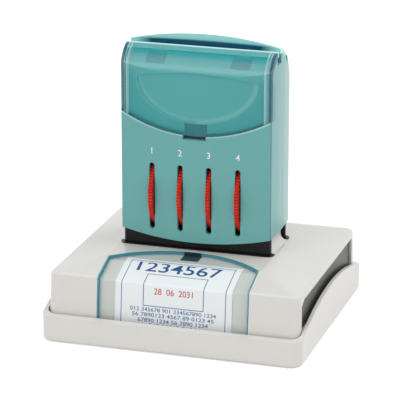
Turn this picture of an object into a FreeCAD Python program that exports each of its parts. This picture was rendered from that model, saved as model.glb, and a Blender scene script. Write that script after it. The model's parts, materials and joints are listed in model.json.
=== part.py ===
"""Pre-inked date stamp with four thumb wheels, standing in its dust cover tray.

Millimetres. +Z up, front towards -Y, origin at the middle of the tray's underside.
"""

import FreeCAD, Part
import math
import os

V = FreeCAD.Vector
os.makedirs("parts", exist_ok=True)

# Shared clearances
overrun = 6.0            # how far a cutting tool runs past a face
slide_gap = 0.4          # between a piece and the one that it slides past
seam_gap = 0.1           # between two mouldings that meet at a seam
turn_gap = 0.05          # radial clearance of what turns on a shaft
seat_gap = 0.1           # between a loose piece and its seat

# Dust cover: the tray that the stamp stands in
tray_play = 0.4          # between the stamp and the tray's side walls and rims
tray_corner = 5.0
tray_floor = 1.8
tray_side_wall = 1.4
tray_end_wall = 1.8
tray_rim_height = 10.3   # front and rear rim over the table
tray_rim_width = 3.5     # the rim is rolled inward
tray_rim_thickness = 1.9
tray_hump_height = 18.0  # crown of each side wall over the table
tray_hump_end = 2.8      # the hump ends this far from the tray's ends
tray_foot_round = 1.6
ledge_rise = 2.2         # the stamp stands this far over the tray's floor
ledge_width = 4.0

# Base housing
housing_width = 100.0
housing_depth = 89.8
housing_side_height = 22.4
side_lean = 0.2          # how far each side wall leans in up to the eave
end_lean = 2.3
housing_corner = 3.0
housing_inner_corner = 0.6
housing_wall = 2.4
roof_rise = 4.15
eave_round = 1.5
roof_run = 13.2          # from the front and rear eaves in to the roof's flat top

# Handle
handle_width = 59.8
handle_depth = 26.6      # at its corners
handle_bow = 1.7         # how far the front and rear swell at the middle
handle_side_bow = 0.5
shell_wall = 1.8
shell_side_wall = 1.2
skirt_clearance = 0.25   # under the skirt's middle when the handle is pressed
skirt_sag = 3.3          # how far the lower edge dips at the middle
front_seam_in = 1.0      # from the front corners back to the front shell's seam
rear_seam_y = 3.0
upper_wall = 5.5         # shoulder wall under the lid, from the outer skin
upper_side_wall = 3.0
bulkhead_clearance = 3.0 # over the neck's cheeks
bulkhead_thickness = 3.0 # up to the lid's lower edge
lid_straight = 21.0      # from the lid's lower edge to where the front begins to curve back
shoulder_rise = 12.3
rear_shoulder_drop = 13.0  # the rear begins to curve this much lower
ridge_y = -1.0           # line of the top of the profile
crown_rise = 3.3         # how far the cap's middle stands over its ends

# Lid, cap and catch
lid_thickness = 1.8
lid_gap = 0.25           # under the lid
lid_edge_rise = 7.7      # how far the lid's lower edge climbs at the corners
lid_end = 0.8            # how far the lid reaches behind its pivot
cap_front_y = -0.8
cap_front_bow = 2.4      # the cap's front edge curves back at the middle
cap_rear_y = 8.2
cap_thickness = 1.4
cap_section_shares = ((0.0, 1.0), (0.45, 0.92), (1.0, 0.04))  # place from front to rear, and crown there
channel_drop = 1.2       # floor of the groove that the lid's upper edge turns into, under the pivot
channel_lead = 0.6       # how far the groove starts in front of the pivot
pivot_y = -5.0
pivot_drop = 4.1         # under the ridge
pivot_radius = 0.9
clip_spacing = 34.0
clip_width = 7.6
clip_depth = 4.4
clip_drop = 2.8          # the clip's foot, under the pivot
clip_lip_drop = 0.45     # the clip's open top stands this far under the pivot
clip_seat_height = 2.0
clip_play = 0.3
web_reach = 2.3
web_width = 5.0
web_thickness = 1.0
latch_width = 8.8
latch_height = 5.6
latch_drop = 1.3         # how far the catch reaches under the lid's edge
latch_depth = 2.0
notch_side_room = 0.2    # between the catch and the notch's sides
notch_drop = 1.5
dish_margin = 5.9        # from the dish's ends to the handle's sides
dish_top_lead = 0.5      # the dish's ends stand this far over the start of the curve
dish_drop = 16.7
dish_top_rise = 2.6
dish_depth = 0.9

# Wheels, slots and axle
wheel_stand_out = 2.4    # in front of the handle's middle
wheel_rear_room = 1.0    # between the wheels and the rear shell's middle
wheel_thickness = 1.6
wheel_pitch = 11.5
wheel_ribs = 72
rib_depth = 0.45
slot_width = 2.2
slot_end = 1.4           # the slots are this much shorter than the wheel at each end
slot_rise = 0.8          # over the skirt's corners
axle_radius = 1.5
axle_overhang = 1.6
sleeve_wall = 0.85       # sleeve of the outer wheels
hub_wall = 1.0           # hub of the inner wheels
drum_radius = 4.6
drum_width = 3.6
inner_drum_end = 1.2     # distance of the inner drums' ends from the middle
clip_ring_wall = 1.3
clip_ring_thickness = 0.6

# Type bands
band_side_room = 0.1     # between a band's edges and its drum's
band_thickness = 0.9
band_toe_radius = 0.8    # small corners at the printing end
band_toe_y = 1.8
type_height = 0.6
type_length = 2.2
type_pitch = 4.4
type_rows = 6
platen_height = 2.2
platen_felt_height = 1.5
platen_cheek = 1.0
platen_cheek_depth = 6.0
platen_foot = 4.0
platen_foot_height = 1.0
toe_type_length = 3.0

# Printing unit: die, felt and holder
stroke = 2.8             # travel of the handle, and how far the die stands back
die_side_margin = 7.0    # from the die's edges to the housing's outer foot
die_end_margin = 11.9
die_thickness = 4.0
felt_thickness = 2.0
holder_plate = 2.4
holder_skirt = 1.5
die_gap = 0.2
die_stand_out = 1.5      # how far the die stands out of its skirt
date_window_side_room = 1.05  # beside the platen's cheeks
date_window_depth = 17.0
ear_margin = 6.0         # from a spring's axis to the ear's end
ear_room = 1.35          # between the ears and the foot of the housing's wall
stop_gap = 0.2
pad_corner = 1.5

# Base frame, springs and screws
frame_fit = 0.1
frame_run_gap = 0.4
frame_corner = 1.4
spring_inset = 13.0      # from the die's sides to the springs
spring_row_in = 3.5      # from the frame's opening to the row of springs and screws
spring_radius = 2.2      # to the middle of the wire
spring_wire = 0.7
spring_turns = 4.0
spring_pocket_gap = 0.5
pocket_floor = 1.4
boss_inset = 7.5         # from the housing's sides
boss_radius = 2.8
stop_inset = 10.0        # from the springs to the stops
stop_width = 2.0
stop_depth = 3.0
screw_radius = 1.0
screw_head_radius = 2.0
screw_head_height = 1.0
screw_length = 6.5

# Neck
neck_front_inset = 1.05  # how far the neck's face stands behind the handle's front corners
neck_side_inset = 0.2
neck_corner = 1.5
neck_lap = 0.7           # how far the neck's plates reach up into the handle
strip_width = 3.5        # front and rear plates, from the handle's corners inward
flange_thickness = 2.0
cheek_thickness = 1.5
cheek_inset = 1.8        # from the plates' edges
cheek_over_comb = 1.1
pad_height = 6.0
pad_depth = 8.0
pad_rise = 8.5           # over the wheels' axis
guide_gap = 0.25
guide_wall = 0.6
guide_flange = 0.5
guide_flange_height = 0.4
guide_depth = 2.2
holder_screw_inset_x = 3.8  # from the cheeks
holder_screw_inset_y = 2.4  # from the plates' edges
holder_screw_radius = 0.8
holder_screw_head_radius = 1.5

# Side lugs of the housing
lug_width = 2.6
lug_front_inset = 0.6    # from the plates' edges
lug_rear_inset = 1.4
lug_cover = 6.7          # how far the lug reaches up into the handle
lug_foot_out = 3.2       # how far the lug's foot flares out
lug_foot_rise = 2.9

# Detent comb
comb_rise = 3.1          # over the wheels
comb_thickness = 0.5
comb_depth = 8.0
finger_width = 1.2
finger_gap = 0.3

# Window and card
window_width = 60.0
window_thickness = 1.2
window_rise = 1.2        # over the housing's foot
window_neck_gap = 3.9    # from the neck's front to the window's apex
window_arc_rise = 13.2   # from the upper corners to the apex
window_fit = 0.15
card_margin = 6.7        # from the card's sides to the window's
card_thickness = 0.3
card_back_in = 0.2       # the card ends this far in front of the window's upper corners
card_rise = 0.4
pull_slot_width = 7.0
pull_slot_depth = 6.0
catch_drop = 1.3         # top of the window's catch under the roof's

# Side panels
panel_front_in = 5.3     # from the housing's front
panel_rear_in = 6.5
panel_over_frame = 1.8
panel_under_eave = 2.8
panel_chamfer_y = 3.4
panel_chamfer_z = 2.0
panel_recess = 0.9
panel_lap = 1.3
panel_lap_thickness = 0.7

# Long screws of the handle's rear
shell_screw_inset = 8.9  # from the handle's sides
shell_screw_low = 6.0    # over the bulkhead
shell_screw_high = 1.0   # under the start of the front's curve
shell_boss_radius = 3.0
shell_screw_radius = 1.2
shell_head_radius = 2.2
shell_head_height = 1.4
shell_screw_bite = 5.0
shell_head_depth = 4.6   # from the rear's middle to the heads' seats

# Places worked out from the sizes above: base
tray_width = housing_width + 2 * (tray_side_wall + tray_play)
tray_depth = housing_depth + 2 * (tray_rim_width + tray_play)
tray_hump_span = tray_depth - 2 * tray_hump_end
reach = tray_width + tray_depth
stamp_z = tray_floor + ledge_rise
eave_z = stamp_z + housing_side_height
roof_z = eave_z + roof_rise
eave_width = housing_width - 2 * side_lean
eave_depth = housing_depth - 2 * end_lean

# Printing unit and frame
die_width = housing_width - 2 * die_side_margin
die_depth = housing_depth - 2 * die_end_margin
die_face_z = stamp_z + stroke
felt_low_z = die_face_z + die_thickness
plate_low_z = felt_low_z + felt_thickness
plate_top_z = plate_low_z + holder_plate
skirt_low_z = die_face_z + die_stand_out
holder_width = die_width + 2 * (die_gap + holder_skirt)
holder_depth = die_depth + 2 * (die_gap + holder_skirt)
frame_top_z = plate_low_z - stroke - stop_gap
frame_rise_share = (frame_top_z - stamp_z) / housing_side_height
frame_width = housing_width - 2 * (housing_wall + frame_fit) - (housing_width - eave_width) * frame_rise_share
frame_depth = housing_depth - 2 * (housing_wall + frame_fit) - (housing_depth - eave_depth) * frame_rise_share
spring_x = die_width / 2 - spring_inset
spring_y = holder_depth / 2 + frame_run_gap + spring_row_in
boss_x = housing_width / 2 - boss_inset
stop_x = spring_x - stop_inset
ear_width = 2 * (spring_x + ear_margin)
ear_reach = housing_depth / 2 - housing_wall - ear_room
pocket_z = stamp_z + pocket_floor
flange_top_z = plate_top_z + flange_thickness

# Handle's plan, and the neck and wheels in it
half_handle = handle_width / 2
half_deep = handle_depth / 2
front_y = -half_deep - handle_bow
rear_y = -front_y
front_seam_y = -half_deep + front_seam_in
neck_front = half_deep - neck_front_inset
neck_side = half_handle - neck_side_inset
neck_strip_y = half_deep - strip_width
lug_out = half_handle - shell_side_wall - slide_gap
lug_in = lug_out - lug_width
lug_front_y = -neck_strip_y + lug_front_inset
lug_rear_y = neck_strip_y - lug_rear_inset
cheek_x = lug_in - slide_gap
cheek_depth = 2 * (neck_strip_y - cheek_inset)
inner_face_x = cheek_x - cheek_thickness
holder_screw_x = inner_face_x - holder_screw_inset_x
holder_screw_y = neck_strip_y - holder_screw_inset_y
wheel_radius = (wheel_stand_out + rear_y - front_y - shell_wall - wheel_rear_room) / 2
wheel_y = front_y - wheel_stand_out + wheel_radius
slot_length = 2 * (wheel_radius - slot_end)

# Heights of the handle, from its lower edge up
skirt_z = roof_z + guide_flange_height + stroke + skirt_sag + skirt_clearance
neck_plate_top_z = skirt_z + neck_lap
lug_top_z = skirt_z + lug_cover
wheel_z = skirt_z + slot_rise + slot_length / 2
pad_z = wheel_z + pad_rise
comb_z = wheel_z + wheel_radius + comb_rise
cheek_top_z = comb_z + comb_thickness + cheek_over_comb
bulkhead_z = cheek_top_z + bulkhead_clearance
lid_edge_z = bulkhead_z + bulkhead_thickness
shoulder_z = lid_edge_z + lid_straight
rear_shoulder_z = shoulder_z - rear_shoulder_drop
ridge_z = shoulder_z + shoulder_rise
pivot_z = ridge_z - pivot_drop
clip_low_z = pivot_z - clip_drop
channel_floor_z = pivot_z - channel_drop
lid_top_y = pivot_y + lid_end
cover_inset = lid_thickness + lid_gap
dish_width = handle_width - 2 * dish_margin
dish_top_z = shoulder_z + dish_top_lead
notch_width = latch_width + 2 * notch_side_room
shell_screw_x = half_handle - shell_screw_inset
shell_screw_low_z = bulkhead_z + shell_screw_low
shell_screw_high_z = shoulder_z - shell_screw_high
shell_head_seat_y = rear_y - shell_head_depth

# Wheels, drums and bands along the axle
sleeve_bore = axle_radius + turn_gap
sleeve_radius = sleeve_bore + sleeve_wall
hub_bore = sleeve_radius + turn_gap
hub_radius = hub_bore + hub_wall
clip_ring_radius = axle_radius + clip_ring_wall
inner_x = wheel_pitch / 2
outer_x = inner_x + wheel_pitch
wheel_places = (-outer_x, -inner_x, inner_x, outer_x)
inner_drum_x = inner_drum_end + drum_width / 2
outer_drum_x = inner_x + (wheel_thickness + drum_width) / 2 + seat_gap
band_width = drum_width - 2 * band_side_room
band_bore = drum_radius + seat_gap
toe_z = die_face_z + type_height + band_thickness + band_toe_radius
platen_end = outer_drum_x + drum_width / 2 + seat_gap
date_window_width = 2 * (platen_end + platen_cheek + date_window_side_room)

# Window, card and side panels
window_low_z = stamp_z + window_rise
window_apex_y = -neck_front - window_neck_gap
card_width = window_width - 2 * card_margin
card_back_y = window_apex_y - window_arc_rise - card_back_in
card_low_z = window_low_z + card_rise
panel_front_y = -housing_depth / 2 + panel_front_in
panel_rear_y = housing_depth / 2 - panel_rear_in
panel_low_z = frame_top_z + panel_over_frame
panel_top_z = eave_z - panel_under_eave


def save(name, *solids):
    """Write one node's STEP file from its solid or solids."""
    shape = solids[0] if len(solids) == 1 else Part.makeCompound(list(solids))
    shape.exportStep("parts/" + name + ".step")


def block(x0, x1, y0, y1, z0, z1):
    """Box between two corners."""
    return Part.makeBox(x1 - x0, y1 - y0, z1 - z0, V(x0, y0, z0))


def centred_block(width, y0, y1, z0, z1, x=0):
    """Box that is symmetric about a plane of constant x."""
    return block(x - width / 2, x + width / 2, y0, y1, z0, z1)


def post(radius, x, y, z0, z1):
    """Upright cylinder."""
    return Part.makeCylinder(radius, z1 - z0, V(x, y, z0))


def rod(radius, x0, x1, y, z):
    """Cylinder along X."""
    return Part.makeCylinder(radius, x1 - x0, V(x0, y, z), V(1, 0, 0))


def tube(bore, radius, x0, x1):
    """Sleeve along X on the wheels' axis."""
    return rod(radius, x0, x1, wheel_y, wheel_z).cut(rod(bore, x0, x1, wheel_y, wheel_z))


def mirrored(shape, normal=V(1, 0, 0)):
    """Mirror image in a plane through the origin."""
    return shape.mirror(V(0, 0, 0), normal)


def outline(points):
    """Closed wire through points; a pair of points as one item bends the way there as an arc."""
    edges = []
    here = points[0]
    for item in points[1:] + [points[0]]:
        if isinstance(item, tuple):
            edges.append(Part.Arc(here, item[0], item[1]).toShape())
            here = item[1]
        elif here.distanceToPoint(item) > 0:
            edges.append(Part.makeLine(here, item))
            here = item
    return Part.Wire(edges)


def prism(wire, along):
    """Solid from a closed flat wire."""
    return Part.Face(wire).extrude(along)


def rounded_rectangle(width, depth, radius, z):
    """Flat wire with four round corners."""
    x, y = width / 2, depth / 2
    lean = radius * (1 - math.sqrt(0.5))
    return outline([
        V(x - radius, -y, z),
        (V(x - lean, -y + lean, z), V(x, -y + radius, z)),
        V(x, y - radius, z),
        (V(x - lean, y - lean, z), V(x - radius, y, z)),
        V(-x + radius, y, z),
        (V(-x + lean, y - lean, z), V(-x, y - radius, z)),
        V(-x, -y + radius, z),
        (V(-x + lean, -y + lean, z), V(-x + radius, -y, z)),
    ])


def handle_plan(end, side, z0, z1):
    """Upright prism of the handle's bowed plan, inset by end and side."""
    x, y = half_handle - side, half_deep - end
    wire = outline([
        V(-x, -y, z0),
        (V(0, -y - handle_bow, z0), V(x, -y, z0)),
        (V(x + handle_side_bow, 0, z0), V(x, y, z0)),
        (V(0, y + handle_bow, z0), V(-x, y, z0)),
        (V(-x - handle_side_bow, 0, z0), V(-x, -y, z0)),
    ])
    return prism(wire, V(0, 0, z1 - z0))


def quarter(centre, across, up):
    """Quarter of an ellipse from centre + across to centre + up."""
    first, second = (across, up) if across.Length >= up.Length else (up, across)
    ellipse = Part.Ellipse(centre + first, centre + second, centre)
    return Part.ArcOfEllipse(ellipse, 0, math.pi / 2).toShape()


def side_profile(inset, z0=0):
    """Prism along X of the handle's side view, with its two elliptical shoulders."""
    y0, y1, top = front_y + inset, rear_y - inset, ridge_z - inset
    foot, rear_foot = V(-reach, y0, z0), V(-reach, y1, z0)
    front, rear = V(-reach, y0, shoulder_z), V(-reach, y1, rear_shoulder_z)
    middle, rear_middle = V(-reach, ridge_y, shoulder_z), V(-reach, ridge_y, rear_shoulder_z)
    edges = [
        Part.makeLine(foot, front),
        quarter(middle, V(0, y0 - ridge_y, 0), V(0, 0, top - shoulder_z)),
        quarter(rear_middle, V(0, y1 - ridge_y, 0), V(0, 0, top - rear_shoulder_z)),
        Part.makeLine(rear, rear_foot),
        Part.makeLine(rear_foot, foot),
    ]
    return prism(Part.Wire(edges), V(2 * reach, 0, 0))


def handle_block(end, side):
    """The handle's whole outer form, inset by end at the front, rear and top and by side at its sides."""
    return handle_plan(end, side, 0, ridge_z + overrun).common(side_profile(end))


def covered_core(inset):
    """What lies behind the front's and the rear's bowed skin, at a given depth, out past the sides."""
    x, y = half_handle, half_deep - inset
    plan = outline([
        V(-reach, -y, 0),
        V(-x, -y, 0),
        (V(0, -y - handle_bow, 0), V(x, -y, 0)),
        V(reach, -y, 0),
        V(reach, y, 0),
        V(x, y, 0),
        (V(0, y + handle_bow, 0), V(-x, y, 0)),
        V(-reach, y, 0),
    ])
    return prism(plan, V(0, 0, ridge_z)).common(side_profile(inset))


def above_arc(edge_z, middle_z):
    """Everything over a line that runs level outside the handle and sags or climbs to its middle."""
    top = ridge_z + crown_rise + overrun
    return prism(outline([
        V(-reach, -reach, top),
        V(-reach, -reach, edge_z),
        V(-half_handle, -reach, edge_z),
        (V(0, -reach, middle_z), V(half_handle, -reach, edge_z)),
        V(reach, -reach, edge_z),
        V(reach, -reach, top),
    ]), V(0, 2 * reach, 0))


def skirt_region(gap=0):
    """Everything over the handle's lower edge."""
    return above_arc(skirt_z + gap, skirt_z - skirt_sag + gap)


def lid_region(gap=0):
    """Everything over the lid's lower edge."""
    return above_arc(lid_edge_z + lid_edge_rise + gap, lid_edge_z + gap)


def housing_block(inset, rounded=False):
    """The base housing's outer form, or the same form inset by a wall."""
    radius = max(housing_corner - inset, housing_inner_corner)
    foot = rounded_rectangle(housing_width - 2 * inset, housing_depth - 2 * inset, radius, stamp_z)
    eave = rounded_rectangle(eave_width - 2 * inset, eave_depth - 2 * inset, radius, eave_z - inset)
    flat_width = 2 * (neck_side + guide_gap + guide_wall + guide_flange)
    flat_depth = eave_depth - 2 * roof_run
    ridge = rounded_rectangle(flat_width, flat_depth, housing_corner / 2, roof_z - inset)
    walls = Part.makeLoft([foot, eave], True, True)
    roof = Part.makeLoft([eave, ridge], True, True)
    body = walls.fuse(roof).removeSplitter()
    if rounded:
        edges = [e for e in body.Edges if all(abs(v.Z - eave_z) < turn_gap for v in e.Vertexes)]
        body = body.makeFillet(eave_round, edges)
    return body


def ring_z(outer, inner, z0, z1):
    """Rectangular ring; outer and inner are (width, depth, corner radius)."""
    body = prism(rounded_rectangle(*outer, z0), V(0, 0, z1 - z0))
    hole = prism(rounded_rectangle(*inner, z0 - overrun), V(0, 0, z1 - z0 + 2 * overrun))
    return body.cut(hole)


def make_dust_cover():
    """Tray with a rolled rim in front and behind and a hump on each side."""
    body = prism(rounded_rectangle(tray_width, tray_depth, tray_corner, 0), V(0, 0, tray_hump_height))
    foot_edges = [e for e in body.Edges if all(abs(v.Z) < turn_gap for v in e.Vertexes)]
    body = body.makeFillet(tray_foot_round, foot_edges)
    inner_width = tray_width - 2 * tray_side_wall
    inner_corner = tray_corner - tray_side_wall
    under_rim = tray_rim_height - tray_rim_thickness - stamp_z
    wide_depth = tray_depth - 2 * tray_end_wall
    hollow = rounded_rectangle(inner_width, wide_depth, inner_corner, stamp_z)
    body = body.cut(prism(hollow, V(0, 0, under_rim)))
    mouth_depth = tray_depth - 2 * tray_rim_width
    mouth = rounded_rectangle(inner_width, mouth_depth, inner_corner, stamp_z)
    body = body.cut(prism(mouth, V(0, 0, reach)))
    well_width, well_depth = inner_width - 2 * ledge_width, mouth_depth - 2 * ledge_width
    well = rounded_rectangle(well_width, well_depth, housing_corner, tray_floor)
    body = body.cut(prism(well, V(0, 0, reach)))
    y = tray_hump_span / 2
    waste = prism(outline([
        V(-reach, -reach, tray_rim_height),
        V(-reach, -y, tray_rim_height),
        (V(-reach, 0, tray_hump_height), V(-reach, y, tray_rim_height)),
        V(-reach, reach, tray_rim_height),
        V(-reach, reach, reach),
        V(-reach, -reach, reach),
    ]), V(2 * reach, 0, 0))
    return body.cut(waste)


def window_region(gap, back_gap=0):
    """Upright prism over the window's plan: straight sides and an arched rear edge."""
    x = window_width / 2 + gap
    apex = window_apex_y + back_gap
    corner = apex - window_arc_rise
    low = window_low_z - gap
    return prism(outline([
        V(-x, -reach, low),
        V(x, -reach, low),
        V(x, corner, low),
        (V(0, apex, low), V(-x, corner, low)),
    ]), V(0, 0, reach))


def pull_slot(z0, rear_y):
    """The gap at the window's rear edge that a fingernail goes into."""
    return centred_block(pull_slot_width, window_apex_y - pull_slot_depth, rear_y, z0, roof_z + overrun)


def panel_region(grow):
    """Prism along X of a side panel's outline, with its chamfered upper front corner."""
    y0, y1 = panel_front_y - grow, panel_rear_y + grow
    z0, z1 = panel_low_z - grow, panel_top_z + grow
    x = housing_width / 2 - housing_wall - 2 * panel_lap_thickness
    return prism(outline([
        V(x, y0, z0),
        V(x, y1, z0),
        V(x, y1, z1),
        V(x, y0 + panel_chamfer_y, z1),
        V(x, y0, z1 - panel_chamfer_z),
    ]), V(reach, 0, 0))


def neck_plan(grow, z0, z1):
    """Upright prism of the neck's plan, grown outward."""
    plan = rounded_rectangle(2 * (neck_side + grow), 2 * (neck_front + grow), neck_corner + grow, z0)
    return prism(plan, V(0, 0, z1 - z0))


def neck_outline(grow, z0, z1, side=0):
    """Front and rear strips of the neck's plan, grown outward."""
    plan = neck_plan(grow, z0, z1)
    strip = neck_strip_y - side
    return plan.cut(centred_block(reach, -strip, strip, z0 - overrun, z1 + overrun))


def make_housing_shell(outer):
    """White housing with its hip roof, lugs, bosses and all its openings."""
    body = outer.cut(housing_block(housing_wall))
    inside = housing_block(housing_wall / 2)
    half, rib_low = stop_depth / 2, plate_top_z + seat_gap
    for x, y in corners(boss_x, spring_y):
        body = body.fuse(post(boss_radius, x, y, frame_top_z, eave_z).common(inside))
        body = body.cut(post(screw_radius, x, y, stamp_z, stamp_z + screw_length + screw_head_height))
    for x, y in corners(stop_x, spring_y):
        rib = centred_block(stop_width, y - half, y + half, rib_low, eave_z, x)
        body = body.fuse(rib.common(inside))
    body = body.cut(neck_outline(guide_gap + guide_wall, roof_z - 2 * housing_wall, roof_z + overrun))
    slot = block(-lug_in, lug_in, -neck_strip_y, neck_strip_y, roof_z - 2 * housing_wall, roof_z + overrun)
    body = body.cut(slot)
    lug_low = roof_z - housing_wall
    lug = block(lug_in, lug_out, lug_front_y, lug_rear_y, lug_low, lug_top_z)
    foot_z, foot_x = roof_z + lug_foot_rise, lug_out + lug_foot_out
    bend_x = foot_x - lug_foot_out * math.sqrt(0.5)
    bend_z = foot_z - lug_foot_rise * math.sqrt(0.5)
    flare = prism(outline([
        V(lug_out - seam_gap, lug_front_y, foot_z),
        V(lug_out, lug_front_y, foot_z),
        (V(bend_x, lug_front_y, bend_z), V(foot_x, lug_front_y, roof_z)),
        V(foot_x, lug_front_y, roof_z - seam_gap),
        V(lug_out - seam_gap, lug_front_y, roof_z - seam_gap),
    ]), V(0, lug_rear_y - lug_front_y, 0))
    lug = lug.fuse(flare)
    body = body.fuse(lug).fuse(mirrored(lug))
    recess = outer.cut(housing_block(window_thickness + card_thickness + seat_gap))
    body = body.cut(recess.common(window_region(window_fit, window_fit)))
    body = body.cut(pull_slot(eave_z - housing_wall, window_apex_y - window_fit))
    hole = panel_region(0)
    return body.cut(hole).cut(mirrored(hole))


def make_side_panel():
    """Dark panel in the right side, with a lap inside the wall."""
    lap_inset = housing_wall + seam_gap
    face = housing_block(panel_recess).cut(housing_block(lap_inset)).common(panel_region(-seam_gap))
    lap = housing_block(lap_inset).cut(housing_block(lap_inset + panel_lap_thickness))
    return face.fuse(lap.common(panel_region(panel_lap))).removeSplitter()


def make_window(outer):
    """Clear window that wraps the front edge of the housing."""
    sheet = outer.cut(housing_block(window_thickness))
    return sheet.common(window_region(0)).cut(pull_slot(0, window_apex_y + overrun))


def make_window_catch():
    """Black catch in the pull slot, under the window's rear edge."""
    half = pull_slot_width / 2 - seam_gap
    y0, y1 = window_apex_y - pull_slot_depth + seam_gap, window_apex_y - window_fit - seam_gap
    return block(-half, half, y0, y1, roof_z - housing_wall, roof_z - catch_drop)


def make_card():
    """Folded card behind the window."""
    inset = window_thickness + seam_gap / 2
    sheet = housing_block(inset).cut(housing_block(inset + card_thickness))
    return sheet.common(centred_block(card_width, -reach, card_back_y, card_low_z, reach))


def make_neck_guide():
    """Thin black guide in the front of the roof's opening."""
    low, top = roof_z - guide_depth, roof_z + guide_flange_height
    wall = guide_gap + guide_wall - seam_gap / 2
    body = neck_outline(wall, low, roof_z, -seam_gap)
    body = body.fuse(neck_outline(guide_gap + guide_wall + guide_flange, roof_z, top, -seam_gap))
    body = body.cut(neck_plan(guide_gap, low - overrun, top + overrun))
    return body.common(block(-reach, reach, -reach, 0, 0, reach))


def make_neck_frame():
    """Black neck: flange, front and rear plates, and the cheeks that carry the axle."""
    body = neck_outline(0, flange_top_z, neck_plate_top_z)
    tucked = handle_plan(shell_wall + seam_gap, shell_side_wall + seam_gap, 0, reach)
    body = body.cut(skirt_region(-seam_gap).cut(tucked))
    body = body.fuse(neck_plan(0, plate_top_z, flange_top_z))
    for side in (-1, 1):
        x0, x1 = sorted((side * inner_face_x, side * cheek_x))
        cheek = block(x0, x1, -cheek_depth / 2, cheek_depth / 2, flange_top_z, cheek_top_z)
        x0, x1 = sorted((side * cheek_x, side * (half_handle - shell_side_wall)))
        pad = block(x0, x1, -pad_depth / 2, pad_depth / 2, pad_z, pad_z + pad_height)
        body = body.fuse(cheek).fuse(pad)
    body = body.cut(date_window(plate_top_z, flange_top_z))
    for x, y in corners(holder_screw_x, holder_screw_y):
        body = body.cut(post(holder_screw_radius, x, y, plate_low_z, flange_top_z))
    body = body.cut(rod(axle_radius, -reach, reach, wheel_y, wheel_z))
    return body.removeSplitter()


def corners(x, y):
    """The four places that are symmetric about both middle planes."""
    return [(-x, -y), (x, -y), (x, y), (-x, y)]


def date_window(z0, z1):
    """Opening for the type bands."""
    y = date_window_depth / 2
    return centred_block(date_window_width, -y, y, z0 - seam_gap, z1 + seam_gap)


def make_front_shell():
    """Front of the handle with four slots for the wheels and a notch under the lid."""
    body = handle_block(0, 0).common(skirt_region()).cut(lid_region(-seam_gap))
    body = body.common(block(-reach, reach, -reach, front_seam_y - seam_gap, 0, reach))
    body = body.cut(handle_plan(shell_wall, shell_side_wall, 0, bulkhead_z))
    for x in wheel_places:
        radius = slot_width / 2
        z0, z1 = wheel_z - slot_length / 2 + radius, wheel_z + slot_length / 2 - radius
        slot = centred_block(slot_width, -reach, 0, z0, z1, x)
        for z in (z0, z1):
            slot = slot.fuse(Part.makeCylinder(radius, reach, V(x, -reach, z), V(0, 1, 0)))
        body = body.cut(slot)
    notch = centred_block(notch_width, -reach, 0, lid_edge_z - notch_drop, reach)
    return body.cut(notch)


def handle_inside():
    """Hollow of the handle: wide round the wheels, narrower under the lid."""
    low = handle_plan(shell_wall, shell_side_wall, 0, bulkhead_z)
    high = handle_block(upper_wall, upper_side_wall)
    return low.fuse(high)


def covered_space():
    """Room that the lid and the cap take from the handle's outer form."""
    space = handle_block(0, 0).cut(covered_core(cover_inset)).common(lid_region(-seam_gap))
    return space.common(block(-reach, reach, -reach, cap_rear_y, 0, reach))


def shell_screw_places():
    """X and Z of the handle's four long screws."""
    return [(x, z) for x in (-shell_screw_x, shell_screw_x) for z in (shell_screw_low_z, shell_screw_high_z)]


def clip_places():
    """X of the two lid clips."""
    return (-clip_spacing / 2, clip_spacing / 2)


def make_handle_body():
    """Middle of the handle, with the shoulder that the lid covers."""
    whole = handle_block(0, 0).common(skirt_region()).cut(covered_space())
    whole = whole.common(block(-reach, reach, -reach, rear_seam_y - seam_gap, 0, reach))
    front = block(-reach, reach, -reach, front_seam_y, 0, reach).cut(lid_region(-seam_gap))
    body = whole.cut(front).cut(handle_inside())
    hull = handle_block(cover_inset + seam_gap, seam_gap)
    for x, z in shell_screw_places():
        boss = Part.makeCylinder(shell_boss_radius, reach, V(x, -reach, z), V(0, 1, 0))
        body = body.fuse(boss.common(hull).common(whole))
    for x in clip_places():
        width = clip_width + 2 * clip_play + 2 * cap_thickness
        low = clip_low_z - clip_seat_height
        seat = centred_block(width, pivot_y - clip_depth, pivot_y + clip_depth, low, pivot_z, x)
        body = body.fuse(seat.common(hull))
    for x, z in shell_screw_places():
        body = body.cut(Part.makeCylinder(
            shell_screw_radius, shell_screw_bite, V(x, rear_seam_y - shell_screw_bite, z), V(0, 1, 0)))
    for x in clip_places():
        width, half = clip_width + 2 * seam_gap, clip_depth / 2 + seam_gap
        body = body.cut(centred_block(width, pivot_y - half, pivot_y + half, clip_low_z, reach, x))
        sweep = rod(pivot_radius + clip_play + web_reach, x - width / 2, x + width / 2, pivot_y, pivot_z)
        upper = block(-reach, reach, pivot_y - half, reach, pivot_z - clip_lip_drop, reach)
        body = body.cut(sweep.common(upper))
    body = body.cut(block(-reach, reach, pivot_y - channel_lead, cap_front_y, channel_floor_z, reach))
    body = body.cut(latch_block(seam_gap))
    return body.cut(dish()).removeSplitter()


def dish():
    """Half-moon recess in the shoulder's front."""
    x, flat = dish_width / 2, dish_top_z
    lens = Part.Wire([
        quarter(V(0, -reach, flat), V(x, 0, 0), V(0, 0, -dish_drop)),
        quarter(V(0, -reach, flat), V(-x, 0, 0), V(0, 0, -dish_drop)),
        Part.Arc(V(-x, -reach, flat), V(0, -reach, flat + dish_top_rise), V(x, -reach, flat)).toShape(),
    ])
    skin = handle_block(0, 0).cut(covered_core(cover_inset + dish_depth))
    return skin.common(prism(lens, V(0, reach, 0)))


def latch_block(gap):
    """The catch's own room, behind the lid's lower edge and the finger notch."""
    y0 = front_y + cover_inset - gap / 2
    y1 = front_y + cover_inset + latch_depth + gap
    z0 = lid_edge_z - latch_drop - gap
    return centred_block(latch_width + 2 * gap, y0, y1, z0, z0 + latch_height + 2 * gap)


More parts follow.
